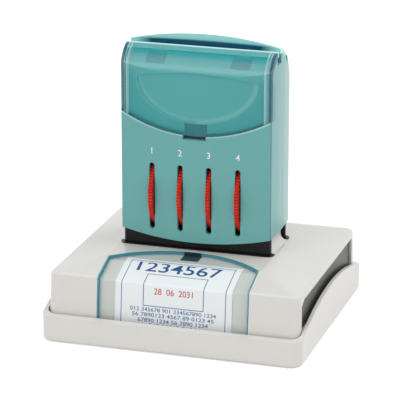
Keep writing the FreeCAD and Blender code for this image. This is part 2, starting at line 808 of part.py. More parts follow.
def make_rear_shell():
    """Rear of the handle."""
    whole = handle_block(0, 0).common(skirt_region()).cut(covered_space())
    half = block(-reach, reach, rear_seam_y, reach, 0, reach)
    body = whole.cut(handle_inside()).common(half)
    hull = handle_block(shell_wall / 2, seam_gap).common(half)
    for x, z in shell_screw_places():
        boss = Part.makeCylinder(shell_boss_radius, reach, V(x, 0, z), V(0, 1, 0)).common(hull)
        body = body.fuse(boss)
        body = body.cut(Part.makeCylinder(shell_screw_radius + turn_gap, reach, V(x, 0, z), V(0, 1, 0)))
        seat = V(x, shell_head_seat_y, z)
        body = body.cut(Part.makeCylinder(shell_head_radius + seam_gap, reach, seat, V(0, 1, 0)))
    return body.removeSplitter()


def make_shell_screw(x, z):
    """Long screw from the handle's rear."""
    length = shell_head_seat_y - rear_seam_y + shell_screw_bite
    shank = Part.makeCylinder(shell_screw_radius, length, V(x, shell_head_seat_y, z), V(0, -1, 0))
    head = Part.makeCylinder(shell_head_radius, shell_head_height, V(x, shell_head_seat_y, z), V(0, 1, 0))
    return shank.fuse(head).removeSplitter()


def rear_height(y, inset):
    """Height of the side view's rear shoulder at a given y."""
    share = (y - ridge_y) / (rear_y - ridge_y)
    return rear_shoulder_z + (ridge_z - rear_shoulder_z) * math.sqrt(1 - share ** 2) - inset


def cap_form(inset):
    """Crowned form of the cap: three upright sections from front to rear."""
    sections = []
    for place_share, crown_share in cap_section_shares:
        y = cap_front_y + place_share * (cap_rear_y - cap_front_y)
        x, edge = half_handle - inset, rear_height(y, inset)
        middle = edge + crown_share * crown_rise
        sections.append(outline([
            V(-x, y, rear_shoulder_z),
            V(x, y, rear_shoulder_z),
            V(x, y, edge),
            (V(0, y, middle), V(-x, y, edge)),
        ]))
    return Part.makeLoft(sections, True, False)


def make_top_cap():
    """Hollow translucent cap behind the lid."""
    inner = cap_form(cap_thickness)
    inner = inner.common(block(
        -reach, reach, cap_front_y + cap_front_bow + cap_thickness, cap_rear_y - cap_thickness, 0, reach))
    body = cap_form(0).cut(inner).cut(side_profile(cover_inset - seam_gap))
    bite = prism(outline([
        V(-reach, -reach, rear_shoulder_z),
        V(reach, -reach, rear_shoulder_z),
        V(reach, cap_front_y, rear_shoulder_z),
        V(half_handle, cap_front_y, rear_shoulder_z),
        (V(0, cap_front_y + cap_front_bow, rear_shoulder_z), V(-half_handle, cap_front_y, rear_shoulder_z)),
        V(-reach, cap_front_y, rear_shoulder_z),
    ]), V(0, 0, reach))
    body = body.cut(bite)
    return body.common(block(-reach, reach, -reach, cap_rear_y - seam_gap, 0, reach))


def make_front_lid():
    """Translucent lid with two pivot rods on webs."""
    body = handle_block(0, 0).cut(covered_core(lid_thickness)).common(lid_region(seam_gap))
    body = body.common(block(-reach, reach, -reach, lid_top_y, 0, reach))
    end, half = web_width / 2 + web_thickness, web_thickness / 2
    for x in clip_places():
        pin = rod(pivot_radius, x - end, x + end, pivot_y, pivot_z)
        web = centred_block(web_width, pivot_y - half, pivot_y + half, pivot_z, pivot_z + web_reach, x)
        body = body.fuse(pin).fuse(web)
    return body.removeSplitter()


def make_lid_clip(x):
    """Open bearing block that a pivot rod of the lid lies in."""
    half = clip_depth / 2
    body = centred_block(clip_width, pivot_y - half, pivot_y + half, clip_low_z, pivot_z - clip_lip_drop, x)
    return body.cut(rod(pivot_radius + turn_gap, x - clip_width, x + clip_width, pivot_y, pivot_z))


def make_lid_latch():
    """Dark catch behind the lid's lower edge."""
    return latch_block(0)


def make_thumb_wheel(x, bore):
    """Ribbed wheel disc."""
    points = []
    for i in range(2 * wheel_ribs):
        circle = (wheel_y, wheel_z, wheel_radius - (i % 2) * rib_depth)
        points.append(on_circle(circle, math.pi * i / wheel_ribs, x - wheel_thickness / 2))
    disc = prism(Part.makePolygon(points + points[:1]), V(wheel_thickness, 0, 0))
    return disc.cut(rod(bore, x - wheel_thickness, x + wheel_thickness, wheel_y, wheel_z))


def make_outer_drum():
    """Sleeve and drum of the right-hand outer wheel."""
    end = inner_drum_end + drum_width
    return tube(sleeve_bore, sleeve_radius, inner_drum_end, outer_x + wheel_thickness / 2).fuse(
        tube(sleeve_bore, drum_radius, inner_drum_end, end)).removeSplitter()


def make_inner_drum():
    """Hub and drum of the right-hand inner wheel; it runs on the outer wheel's sleeve."""
    start, end = inner_x - wheel_thickness / 2, outer_drum_x + drum_width / 2
    return tube(hub_bore, hub_radius, start, end).fuse(
        tube(hub_bore, drum_radius, end - drum_width, end)).removeSplitter()


def make_spacers():
    """Tubes that keep the wheels in their places along the axle."""
    outer = tube(axle_radius, sleeve_radius, outer_x + wheel_thickness / 2 + seam_gap, inner_face_x)
    start, end = outer_drum_x + drum_width / 2 + seam_gap, outer_x - wheel_thickness / 2 - seam_gap
    between = tube(hub_bore, hub_radius, start, end)
    middle = tube(axle_radius, sleeve_radius, -inner_drum_end + seam_gap, inner_drum_end - seam_gap)
    return [outer, mirrored(outer), between, mirrored(between), middle]


def band_path(grow):
    """Circles of the two small toes and the drum, and the angle at which the loop leaves each."""
    circles = [
        (wheel_y - band_toe_y, toe_z, band_toe_radius + grow),
        (wheel_y + band_toe_y, toe_z, band_toe_radius + grow),
        (wheel_y, wheel_z, band_bore + grow),
    ]
    angles = []
    for (y0, z0, r0), (y1, z1, r1) in zip(circles, circles[1:] + circles[:1]):
        along = math.atan2(z1 - z0, y1 - y0)
        angles.append(along - math.acos((r0 - r1) / math.hypot(y1 - y0, z1 - z0)))
    return circles, angles


def on_circle(circle, angle, x=0):
    """Point of a circle in the plane of constant x."""
    y, z, radius = circle
    return V(x, y + radius * math.cos(angle), z + radius * math.sin(angle))


def band_loop(grow, x, width):
    """Solid loop of the band's path."""
    circles, angles = band_path(grow)
    edges = []
    for i in range(len(circles)):
        start, end = angles[i - 1], angles[i]
        while end < start:
            end += 2 * math.pi
        first, middle, last = [on_circle(circles[i], a, x) for a in (start, (start + end) / 2, end)]
        edges.append(Part.Arc(first, middle, last).toShape())
        edges.append(Part.makeLine(last, on_circle(circles[i - 2], angles[i], x)))
    return prism(Part.Wire(edges), V(width, 0, 0))


def type_block(start, end, place, length, width):
    """Raised type on a straight stretch of the band."""
    along = (end - start).normalize()
    outward = V(0, along.z, -along.y)
    foot = start + along * (place - length / 2) - outward * (band_thickness / 2)
    tall = outward * (band_thickness / 2 + type_height)
    wide = along * length
    wire = Part.makePolygon([foot, foot + wide, foot + wide + tall, foot + tall, foot])
    return prism(wire, V(width, 0, 0))


def make_type_band(middle):
    """Rubber band with raised type on its straight sides and at its printing end."""
    x = middle - band_width / 2
    body = band_loop(band_thickness, x, band_width).cut(band_loop(0, x, band_width))
    circles, angles = band_path(band_thickness)
    for i in (1, 2):
        start, end = on_circle(circles[i], angles[i], x), on_circle(circles[i - 2], angles[i], x)
        length = (end - start).Length
        for row in range(type_rows):
            place = length / 2 + (row - (type_rows - 1) / 2) * type_pitch
            body = body.fuse(type_block(start, end, place, type_length, band_width))
    start, end = on_circle(circles[0], angles[0], x), on_circle(circles[1], angles[0], x)
    body = body.fuse(type_block(start, end, (end - start).Length / 2, toe_type_length, band_width))
    return body.removeSplitter()


def make_band_platen():
    """Bar inside the bands' lower ends, with cheeks that stand on the neck's flange."""
    half = band_toe_y + band_toe_radius - seat_gap
    low = die_face_z + type_height + band_thickness + platen_felt_height
    body = block(-platen_end, platen_end, wheel_y - half, wheel_y + half, low, low + platen_height)
    y0, y1 = wheel_y - platen_cheek_depth / 2, wheel_y + platen_cheek_depth / 2
    foot_top = flange_top_z + platen_foot_height
    for side in (-1, 1):
        x0, x1 = sorted((side * platen_end, side * (platen_end + platen_cheek)))
        body = body.fuse(block(x0, x1, y0, y1, low, foot_top))
        x0, x1 = sorted((side * platen_end, side * (platen_end + platen_cheek + platen_foot)))
        body = body.fuse(block(x0, x1, y0, y1, flange_top_z, foot_top))
    return body.removeSplitter()


def make_platen_felt():
    """Ink felt under the platen's bar, behind the type."""
    end = outer_drum_x + drum_width / 2
    low = die_face_z + type_height + band_thickness
    return block(-end, end, wheel_y - band_toe_y, wheel_y + band_toe_y, low, low + platen_felt_height)


def make_detent_comb():
    """Spring comb over the wheels."""
    y0, y1 = wheel_y - comb_depth / 2, wheel_y + comb_depth / 2
    body = block(-inner_face_x, inner_face_x, y0, y1, comb_z, comb_z + comb_thickness)
    tip = wheel_z + wheel_radius + finger_gap
    y0, y1 = wheel_y - comb_thickness, wheel_y + comb_thickness
    for x in wheel_places:
        finger = centred_block(finger_width, y0, y1, tip, comb_z, x)
        body = body.fuse(finger)
    return body.removeSplitter()


def make_die_slab(z0, z1):
    """Slab with a date window, used for the die and its felt."""
    slab = prism(rounded_rectangle(die_width, die_depth, pad_corner, z0), V(0, 0, z1 - z0))
    return slab.cut(date_window(z0, z1))


def make_die_holder():
    """Plate over the felt, with a skirt round the die and ears over the springs."""
    plate = centred_block(holder_width, -holder_depth / 2, holder_depth / 2, plate_low_z, plate_top_z)
    ears = centred_block(ear_width, -ear_reach, ear_reach, plate_low_z, plate_top_z)
    outer = (holder_width, holder_depth, pad_corner + holder_skirt)
    inner = (die_width + 2 * die_gap, die_depth + 2 * die_gap, pad_corner)
    body = plate.fuse(ears).fuse(ring_z(outer, inner, skirt_low_z, plate_low_z))
    body = body.cut(date_window(plate_low_z, plate_top_z))
    for x, y in corners(holder_screw_x, holder_screw_y):
        body = body.cut(post(holder_screw_radius, x, y, plate_low_z, plate_top_z))
    return body.removeSplitter()


def make_holder_screw(x, y):
    """Short screw from the neck's flange into the holder."""
    shank = post(holder_screw_radius, x, y, plate_low_z + seam_gap, flange_top_z)
    head = post(holder_screw_head_radius, x, y, flange_top_z, flange_top_z + screw_head_height)
    return shank.fuse(head).removeSplitter()


def make_base_frame():
    """Frame that stands on the paper round the die, with pockets for the springs."""
    opening = (holder_width + 2 * frame_run_gap, holder_depth + 2 * frame_run_gap, pad_corner)
    body = ring_z((frame_width, frame_depth, frame_corner), opening, stamp_z, frame_top_z)
    pocket_radius = spring_radius + spring_wire / 2 + spring_pocket_gap / 2
    for x, y in corners(spring_x, spring_y):
        body = body.cut(post(pocket_radius, x, y, pocket_z, frame_top_z + overrun))
    for x, y in corners(boss_x, spring_y):
        head_top = stamp_z + screw_head_height + seat_gap
        body = body.cut(post(screw_radius + turn_gap, x, y, stamp_z - overrun, frame_top_z + overrun))
        body = body.cut(post(screw_head_radius + turn_gap, x, y, stamp_z - overrun, head_top))
    return body


def make_base_screw(x, y):
    """Screw that holds the frame to the housing's boss; its head is sunk."""
    low = stamp_z + seat_gap
    head = post(screw_head_radius, x, y, low, low + screw_head_height)
    shank = post(screw_radius, x, y, low, stamp_z + screw_length + screw_head_height)
    return head.fuse(shank).removeSplitter()


def bend(start, corner, end):
    """Arc from start to end whose tangents meet at corner."""
    middle = (start + end) / 2
    half, rise = (end - start).Length / 2, (corner - middle).Length
    sagitta = half * (math.hypot(half, rise) - half) / rise
    return Part.Arc(start, middle + (corner - middle) * (sagitta / rise), end).toShape()


def coil_path(radius, height, turns):
    """Coil of two arcs for each quarter turn, which meet smoothly."""
    climb = height / turns / (2 * math.pi)
    edges = []
    for i in range(round(4 * turns)):
        places = []
        for angle in (i * math.pi / 2, (i + 1) * math.pi / 2):
            point = V(radius * math.cos(angle), radius * math.sin(angle), climb * angle)
            places.append((point, V(-radius * math.sin(angle), radius * math.cos(angle), climb).normalize()))
        (start, leave), (end, arrive) = places
        chord, turned = end - start, 1 - leave.dot(arrive)
        along = chord.dot(leave + arrive)
        pull = (math.sqrt(along ** 2 + 2 * turned * chord.dot(chord)) - along) / (2 * turned)
        first, second = start + leave * pull, end - arrive * pull
        joint = (first + second) / 2
        edges += [bend(start, first, joint), bend(joint, second, end)]
    return Part.Wire(edges)


def make_return_spring(x, y):
    """Coil spring between the frame's pocket and the holder's ear."""
    radius = spring_wire / 2
    height = plate_low_z - pocket_z - spring_wire
    path = coil_path(spring_radius, height, spring_turns)
    tangent = V(0, 2 * math.pi * spring_radius, height / spring_turns)
    section = Part.Wire(Part.makeCircle(radius, V(spring_radius, 0, 0), tangent))
    coil = path.makePipeShell([section], True, False)
    coil.translate(V(x, y, pocket_z + radius))
    return coil


def make_axle():
    """Steel axle through both cheeks."""
    end = cheek_x + axle_overhang
    return rod(axle_radius, -end, end, wheel_y, wheel_z)


def make_axle_clips():
    """Retaining rings outside the cheeks."""
    ring = tube(axle_radius, clip_ring_radius, cheek_x, cheek_x + clip_ring_thickness)
    return [ring, mirrored(ring)]


housing_outer = housing_block(0, rounded=True)
save("dust_cover", make_dust_cover())
save("housing_shell", make_housing_shell(housing_outer))
right_panel = make_side_panel()
save("side_panel_right", right_panel)
save("side_panel_left", mirrored(right_panel))
save("index_window", make_window(housing_outer))
save("index_card", make_card())
save("window_catch", make_window_catch())
front_guide = make_neck_guide()
save("neck_guide_front", front_guide)
save("neck_guide_rear", mirrored(front_guide, V(0, 1, 0)))
save("neck_frame", make_neck_frame())
save("front_shell", make_front_shell())
save("handle_body", make_handle_body())
save("rear_shell", make_rear_shell())
save("shell_screws", *[make_shell_screw(x, z) for x, z in shell_screw_places()])
save("top_cap", make_top_cap())
save("front_lid", make_front_lid())
save("lid_clip_left", make_lid_clip(-clip_spacing / 2))
save("lid_clip_right", make_lid_clip(clip_spacing / 2))
save("lid_latch", make_lid_latch())

wheel_bores = (sleeve_radius, hub_radius, hub_radius, sleeve_radius)
outer_drum, inner_drum = make_outer_drum(), make_inner_drum()
drums = (mirrored(outer_drum), mirrored(inner_drum), inner_drum, outer_drum)
band_places = (-inner_drum_x, -outer_drum_x, outer_drum_x, inner_drum_x)
for number in range(4):
    label = str(number + 1)
    save("thumb_wheel_" + label, make_thumb_wheel(wheel_places[number], wheel_bores[number]))
    save("band_drum_" + label, drums[number])
    save("type_band_" + label, make_type_band(band_places[number]))
save("wheel_axle", make_axle())
save("axle_clips", *make_axle_clips())
save("wheel_spacers", *make_spacers())
save("band_platen", make_band_platen())
save("platen_felt", make_platen_felt())
save("detent_comb", make_detent_comb())

save("message_die", make_die_slab(die_face_z, felt_low_z))
save("ink_felt", make_die_slab(felt_low_z, plate_low_z))
save("die_holder", make_die_holder())
save("holder_screws", *[make_holder_screw(x, y) for x, y in corners(holder_screw_x, holder_screw_y)])
save("base_frame", make_base_frame())
save("base_screws", *[make_base_screw(x, y) for x, y in corners(boss_x, spring_y)])
save("return_springs", *[make_return_spring(x, y) for x, y in corners(spring_x, spring_y)])
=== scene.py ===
"""Finishes, prints and studio for a date stamp that stands in its dust cover tray."""

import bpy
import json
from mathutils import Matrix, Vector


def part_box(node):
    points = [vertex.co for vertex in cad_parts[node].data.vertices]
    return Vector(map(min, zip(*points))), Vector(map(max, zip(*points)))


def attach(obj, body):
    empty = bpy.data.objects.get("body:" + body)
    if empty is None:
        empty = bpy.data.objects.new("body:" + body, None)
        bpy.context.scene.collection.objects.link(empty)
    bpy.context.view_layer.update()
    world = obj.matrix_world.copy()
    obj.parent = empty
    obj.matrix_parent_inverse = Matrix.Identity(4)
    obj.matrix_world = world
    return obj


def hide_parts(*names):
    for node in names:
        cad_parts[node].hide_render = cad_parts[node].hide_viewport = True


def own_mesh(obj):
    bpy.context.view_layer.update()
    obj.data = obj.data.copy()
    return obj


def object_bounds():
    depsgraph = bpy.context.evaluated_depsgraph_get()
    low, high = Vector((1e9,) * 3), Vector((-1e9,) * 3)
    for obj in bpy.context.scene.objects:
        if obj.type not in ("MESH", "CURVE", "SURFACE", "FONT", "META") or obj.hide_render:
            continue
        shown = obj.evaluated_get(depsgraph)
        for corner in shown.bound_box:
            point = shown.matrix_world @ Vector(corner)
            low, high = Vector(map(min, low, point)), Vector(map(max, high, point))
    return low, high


bl_info = {
    "name": "Date Stamp Finishes",
    "version": (1, 0, 0),
    "blender": (4, 5, 0),
    "location": "3D View > Sidebar > Date Stamp",
    "description": "Dresses the packed date stamp: plastics, window, card, wheels and studio",
    "category": "Object",
}

import json
import math

import bmesh
import bpy
from bpy.props import FloatProperty, FloatVectorProperty, PointerProperty, StringProperty
from bpy.types import Operator, Panel, PropertyGroup
from mathutils import Vector
from mathutils.bvhtree import BVHTree

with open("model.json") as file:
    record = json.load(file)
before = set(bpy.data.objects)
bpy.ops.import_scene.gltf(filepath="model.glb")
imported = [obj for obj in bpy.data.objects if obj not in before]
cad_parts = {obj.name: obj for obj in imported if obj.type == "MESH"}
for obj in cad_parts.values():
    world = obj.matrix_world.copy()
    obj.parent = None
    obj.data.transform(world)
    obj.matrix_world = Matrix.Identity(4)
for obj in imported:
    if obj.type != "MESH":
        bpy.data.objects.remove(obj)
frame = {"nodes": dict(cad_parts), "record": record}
NODES = frame["nodes"]
CAD_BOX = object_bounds()
MM = 0.001

# Grain of the mouldings in features to the metre, and the clear plastics' refractive index.
CLOUD_SCALE, GRAIN_SCALE = 60.0, 2600.0
PLASTIC_IOR = 1.49

# Where the finishes change, in metres. A pair is the start and the end of a fade, X is taken from
# the middle, and fades at an arc or an outline are taken from that line.
LIP_FADE, LIP_FRONT_Y = (0.25 * MM, 0.7 * MM), -12.8 * MM
SHELL_EDGE_X, SHELL_BACK_Y = (29.55 * MM, 29.75 * MM), -13.3 * MM
SLOT_HALF_WIDTH, SLOT_WALL_Y, SLOT_WALL_REACH = 3.7 * MM, -16.3 * MM, 0.4 * MM
SLOT_LOW_Z, SLOT_HIGH_Z = 27.5 * MM, 30.5 * MM
BODY_EDGE_X, BODY_FRONT_Y, BODY_REAR_Y = (29.5 * MM, 29.8 * MM), -12.15 * MM, 2.6 * MM
GAP_LOW_Z, GAP_EDGE_X, GAP_Y = 101.5 * MM, (29.2 * MM, 29.5 * MM), (-6.2 * MM, -4.5 * MM)
SHOULDER_Y, SHOULDER_FADE = -8.0 * MM, (0.0, 1.0 * MM)
AROUND_DISH, AROUND_TOP_Z = (0.99, 1.02), (97.0 * MM, 101.0 * MM)
DISH_RIM = (0.9, 0.97), (1.0, 1.03)
LID_RIM_X, LID_EDGE_X = (28.0 * MM, 28.4 * MM), (28.9 * MM, 29.3 * MM)
LID_HIGHLIGHT_X = (27.1 * MM, 27.3 * MM), (27.7 * MM, 27.95 * MM)
LID_FINE_HIGHLIGHT_X = (28.3 * MM, 28.5 * MM), (28.7 * MM, 28.9 * MM)
LID_LOWER_FADE, LID_UPPER_Y = (-1.3 * MM, -0.3 * MM), (-5.6 * MM, -5.1 * MM)
LID_FULL_Z = 106.2 * MM, 108.0 * MM
LID_REFLECTION_Z = (100.5 * MM, 104.5 * MM), (106.0 * MM, 107.6 * MM)
LATCH_HALF_WIDTH, LATCH_TOP_Z = 4.4 * MM, 81.3 * MM
LENS_X, LENS_Y, LENS_Z = (22.0 * MM, 28.6 * MM), (3.0 * MM, 5.0 * MM), (110.3 * MM, 111.1 * MM)
CAP_REAR_Z = 104.0 * MM, 109.0 * MM
WINDOW_SIDE_FADE, WINDOW_ARC_FADE = (-0.5 * MM, -0.35 * MM), (-0.48 * MM, -0.32 * MM)
WINDOW_MARGIN_X, WINDOW_MARGIN_Y = 23.3 * MM, -25.6 * MM
GROOVE_FADE = -0.42 * MM, -0.15 * MM

# Forms that scene.py makes: how round things are divided, and how near points count as together.
FOLD_STEPS, TURN_STEPS, WIRE_SIDES = 12, 28, 8
SAME_FACE, SAME_EDGE = 0.05 * MM, 0.1 * MM
FONT_SIZE_FOR_HEIGHT = 1.42
SPRING_RADIUS, SPRING_TURNS = 2.2 * MM, 4
BAND_TYPE_RISE = 0.35 * MM
PAD_LIFT, PAD_THICKNESS = 0.1 * MM, 0.08 * MM
PAD_LOW_Z, PAD_MIDDLE_Z, PAD_TOP_Z = 103.7 * MM, 106.4 * MM, 107.2 * MM
ROW_NUMERALS = (
    "012 345678 901 234567890 1234",
    "56 7890123 4567 89 0123 45",
    "67890 1234 56 7890 1234",
    "567 89012 3456",
)


def tone(red, green, blue):
    """Linear colour from the three numbers, 0 to 255, that a colour card gives."""
    shares = [channel / 255 for channel in (red, green, blue)]
    return tuple(s / 12.92 if s <= 0.04045 else ((s + 0.055) / 1.055) ** 2.4 for s in shares)


def colour(name, description, *card):
    """Colour property with its default taken from a colour card."""
    return FloatVectorProperty(
        name=name, description=description, default=tone(*card), subtype="COLOR", min=0, max=1, size=3)


def length(name, description, default):
    """Length property in metres."""
    return FloatProperty(name=name, description=description, default=default, unit="LENGTH", precision=5)


def number(name, description, default):
    """Plain number property."""
    return FloatProperty(name=name, description=description, default=default, precision=4)


def place(name, description, default):
    """Point property in metres."""
    return FloatVectorProperty(
        name=name, description=description, default=default, subtype="XYZ", unit="LENGTH", size=3)


class StampColours(PropertyGroup):
    """Colours of the mouldings, papers and inks."""

    shell: colour("Housing", "Warm white of the housing and tray", 225, 223, 218)
    panel: colour("Side panel", "Dark grey of the side panels", 66, 66, 64)
    neck: colour("Neck", "Black of the neck and frames", 12, 12, 13)
    handle: colour("Handle", "Teal of the handle's shells", 103, 172, 170)
    # Painted sheen: pale reflection of the surroundings where the handle turns away.
    painted_sheen: colour("Handle sheen", "Pale sheen where the handle turns away", 214, 226, 222)
    # Painted highlight on the front shell's lip and on the dish's rim.
    edge_highlight: colour("Shell lip", "Pale line of the front shell's upper lip", 190, 228, 224)
    # Painted shade in the window's pull slot, also used on its catch.
    slot: colour("Pull slot", "Dark teal of the window's pull slot", 14, 52, 62)
    # Painted shade on the shoulder round the dish where the lid covers it.
    covered: colour("Covered shoulder", "Deeper teal round the dish under the lid", 40, 142, 148)
    clip_top: colour("Clip top", "Dark teal of the hinge pads' upper half", 22, 78, 88)
    clip_low: colour("Clip foot", "Grey-blue of the hinge pads' lower half", 62, 92, 112)
    # Painted shade in the handle's seams.
    seam: colour("Seam", "Dark teal in the handle's seams", 48, 98, 100)
    lid: colour("Lid", "Turquoise of the lid", 62, 204, 208)
    # Painted shade: deep blue toward the lid's rims and along its lower edge.
    lid_edge_shade: colour("Lid depth", "Deep blue that the lid's rims and lower edge gather", 0, 84, 116)
    lid_top: colour("Lid top", "Full turquoise under the lid's upper edge", 0, 178, 180)
    # Painted highlights along the lid's edges, also its painted reflection band.
    lid_highlight: colour("Lid line", "Pale line along the lid's upper edge and rims", 205, 240, 240)
    cap: colour("Top cap", "Mint of the top cap", 172, 252, 242)
    # Painted shade in the gap between cap and lid.
    gap_shade: colour("Cap depth", "Blue of the gap between cap and lid", 0, 92, 124)
    window: colour("Window", "Grey-green of the clear window", 128, 184, 172)
    # Teal of the window's cut edges, together with painted shade of the gap round the window.
    edge_teal_and_gap_shade: colour("Window edge", "Teal of the window's cut edges", 52, 160, 182)
    catch: colour("Catch", "Slate of the clips and the catch", 22, 34, 56)
    wheel: colour("Wheels", "Red of the thumb wheels", 216, 44, 20)
    # Painted shade in the grooves between the wheels' ribs.
    wheel_groove_shade: colour("Wheel grooves", "Darker red between the wheels' ribs", 130, 16, 8)
    card: colour("Card", "White of the card", 250, 252, 254)
    blue_ink: colour("Blue ink", "Ink of the card's heading", 24, 78, 142)
    pale_ink: colour("Pale ink", "Ink of the card's rules and rows", 70, 116, 166)
    red_ink: colour("Red ink", "Ink of the card's date", 204, 56, 56)
    white_ink: colour("White ink", "Numerals over the wheels", 236, 240, 238)
    steel: colour("Steel", "Bright steel of the axle and screws", 190, 190, 188)
    felt: colour("Felt", "Inked felt", 40, 44, 92)
    die: colour("Die", "Red-brown of the printing slab", 140, 60, 62)
    band: colour("Bands", "Rubber of the type bands", 60, 60, 62)


class StampSizes(PropertyGroup):
    """Sizes of rounded edges, of edge lines and of what is printed."""

    edge_round: length("Edge rounding", "Rounding that mouldings show along sharp edges", 0.3 * MM)
    fine_round: length("Fine rounding", "Rounding that small parts show along sharp edges", 0.15 * MM)
    card_thickness: length("Card thickness", "Thickness of the card", 0.2 * MM)
    card_fold: length("Card fold", "Radius of the card's fold", 1.1 * MM)
    card_reach: length("Card reach", "How far the card runs on over the flat of the roof", 3.9 * MM)
    card_rule: length("Rule", "Width of the lines printed on the card", 0.3 * MM)
    print_lift: length("Print lift", "How far print stands over its surface", 0.03 * MM)
    type_rise: length("Type rise", "How far the type stands out of the printing slab", 0.6 * MM)
    spring_wire: length("Spring wire", "Thickness of the springs' wire", 0.7 * MM)
    felt_grain: length("Felt grain", "Size of the faces that the felts are made of", 0.7 * MM)
    heading: StringProperty(name="Heading", description="Large numerals on the card", default="1234567")
    date: StringProperty(name="Date", description="Red numerals on the card", default="28  06  2031")
    wheel_marks: StringProperty(name="Wheel marks", description="Numerals over the wheels", default="1234")


class StampStudio(PropertyGroup):
    """Camera and light."""

    azimuth: number("Azimuth", "Camera's turn to the right of the front, in degrees", 17.134)
    elevation: number("Elevation", "Camera's height over the horizon, in degrees", 17.978)
    distance: length("Distance", "From the aim to the camera", 0.9738)
    aim: place("Aim", "Point that the camera looks at", (-0.002275, 0, 0.04666))
    lens: number("Lens", "Focal length in millimetres", 223.73)
    world: number("World", "Strength of the light from all round", 0.66)
    key: number("Key light", "Power of the large lamp in front, in watts", 4.4)
    key_size: length("Key size", "Width of the lamp in front", 0.55)
    key_place: place("Key place", "Where the lamp in front stands", (-0.42, -1.15, 1.15))
    side: number("Side light", "Power of the large lamp over the right, in watts", 6.0)
    side_size: length("Side size", "Width of the lamp over the right", 0.9)
    side_place: place("Side place", "Where the lamp over the right stands", (0.6, 0.1, 1.4))
    floor_glow: number("Floor glow", "Light that the camera sees from the floor itself", 0.4)


class Value:
    """A shader socket that takes part in Python arithmetic; each step adds its Math node."""

    def __init__(self, finish, socket):
        self.finish = finish
        self.socket = socket

    def _math(self, operation, first, second=0.0):
        return self.finish.add("ShaderNodeMath", {"operation": operation}, {0: first, 1: second})

    def __add__(self, other):
        return self._math("ADD", self, other)

    def __radd__(self, other):
        return self._math("ADD", other, self)

    def __sub__(self, other):
        return self._math("SUBTRACT", self, other)

    def __rsub__(self, other):
        return self._math("SUBTRACT", other, self)

    def __mul__(self, other):
        return self._math("MULTIPLY", self, other)

    def __rmul__(self, other):
        return self._math("MULTIPLY", other, self)

    def __truediv__(self, other):
        return self._math("DIVIDE", self, other)

    def __pow__(self, other):
        return self._math("POWER", self, other)

    def __gt__(self, other):
        return self._math("GREATER_THAN", self, other)

    def __lt__(self, other):
        return self._math("LESS_THAN", self, other)

    def __abs__(self):
        return self._math("ABSOLUTE", self)

    def either(self, other):
        """The larger of two values."""
        return self._math("MAXIMUM", self, other)

    def ramp(self, low, high):
        """0 below low, 1 over high, and even between."""
        sockets = {"Value": self, "From Min": low, "From Max": high}
        return self.finish.add("ShaderNodeMapRange", {}, sockets)

    def band(self, rise, fall):
        """1 between two fades: up over the first pair, down over the second."""
        return self.ramp(*rise) * (1 - self.ramp(*fall))


class Finish:
    """A material or world being made, with one method that adds any node."""

    def __init__(self, holder):
        self.holder = holder
        holder.use_nodes = True
        self.tree = holder.node_tree
        shaders = ("BSDF_PRINCIPLED", "BACKGROUND")
        self.shader = next(node for node in self.tree.nodes if node.type in shaders)

    def add(self, kind, settings, sockets, output=0):
        """Add a node: its settings first, then the values or links of its sockets."""
        node = self.tree.nodes.new(kind)
        for name, value in settings.items():
            setattr(node, name, value)
        for key, value in sockets.items():
            self.put(node.inputs[key], value)
        return Value(self, node.outputs[output])

    def put(self, socket, value):
        """Link or set one socket."""
        if isinstance(value, Value):
            self.tree.links.new(value.socket, socket)
        elif hasattr(socket.default_value, "__len__") and len(socket.default_value) == 4:
            socket.default_value = (*value, 1.0)
        else:
            socket.default_value = value

    def set(self, **sockets):
        """Values or links of the main shader; underscores stand for spaces."""
        for name, value in sockets.items():
            self.put(self.shader.inputs[name.replace("_", " ")], value)
        return self

    def place(self):
        """Object coordinates, in metres."""
        return self.add("ShaderNodeTexCoord", {}, {}, 3)

    def part(self, axis):
        """One part of the object coordinates: 0, 1 or 2 for X, Y or Z."""
        return self.add("ShaderNodeSeparateXYZ", {}, {0: self.place()}, axis)

    def reach(self, axis, centre, other_axis, other_centre):
        """Distance from a line that runs along the third axis."""
        first, second = self.part(axis) - centre, self.part(other_axis) - other_centre
        return (first * first + second * second) ** 0.5

    def noise(self, scale, detail=2.0, place=None):
        """Cloudy value about 0.5; scale is in features to the metre."""
        return self.add("ShaderNodeTexNoise", {}, {
            "Vector": place or self.place(), "Scale": scale, "Detail": detail})

    def stretched(self, x, y, z):
        """Object coordinates scaled apart, for streaks."""
        sockets = {0: self.place(), 1: (x, y, z)}
        return self.add("ShaderNodeVectorMath", {"operation": "MULTIPLY"}, sockets)

    def mix(self, share, first, second):
        """Blend of two colours."""
        sockets = {0: share, 6: first, 7: second}
        return self.add("ShaderNodeMix", {"data_type": "RGBA"}, sockets, 2)

    def seen(self):
        """1 for what the camera sees, straight or by reflection or transmission."""
        seen = self.add("ShaderNodeLightPath", {}, {}, "Is Camera Ray")
        seen = seen.either(self.add("ShaderNodeLightPath", {}, {}, "Is Glossy Ray"))
        return seen.either(self.add("ShaderNodeLightPath", {}, {}, "Is Transmission Ray"))

    def rounded(self, radius):
        """Surface direction with sharp edges rounded off."""
        return self.add("ShaderNodeBevel", {"samples": 6}, {"Radius": radius})

    def bump(self, height, distance, strength=1.0, direction=None):
        """Normal raised by a height, from the surface's own direction or a given one."""
        sockets = {"Height": height, "Distance": distance, "Strength": strength}
        if direction:
            sockets["Normal"] = direction
        return self.add("ShaderNodeBump", {}, sockets)


def material(name):
    """A new finish for an object."""
    return Finish(bpy.data.materials.new(name))


def shaded(base, share):
    """A colour made darker or lighter by a share."""
    return tuple(min(1.0, max(0.0, channel * share)) for channel in base)


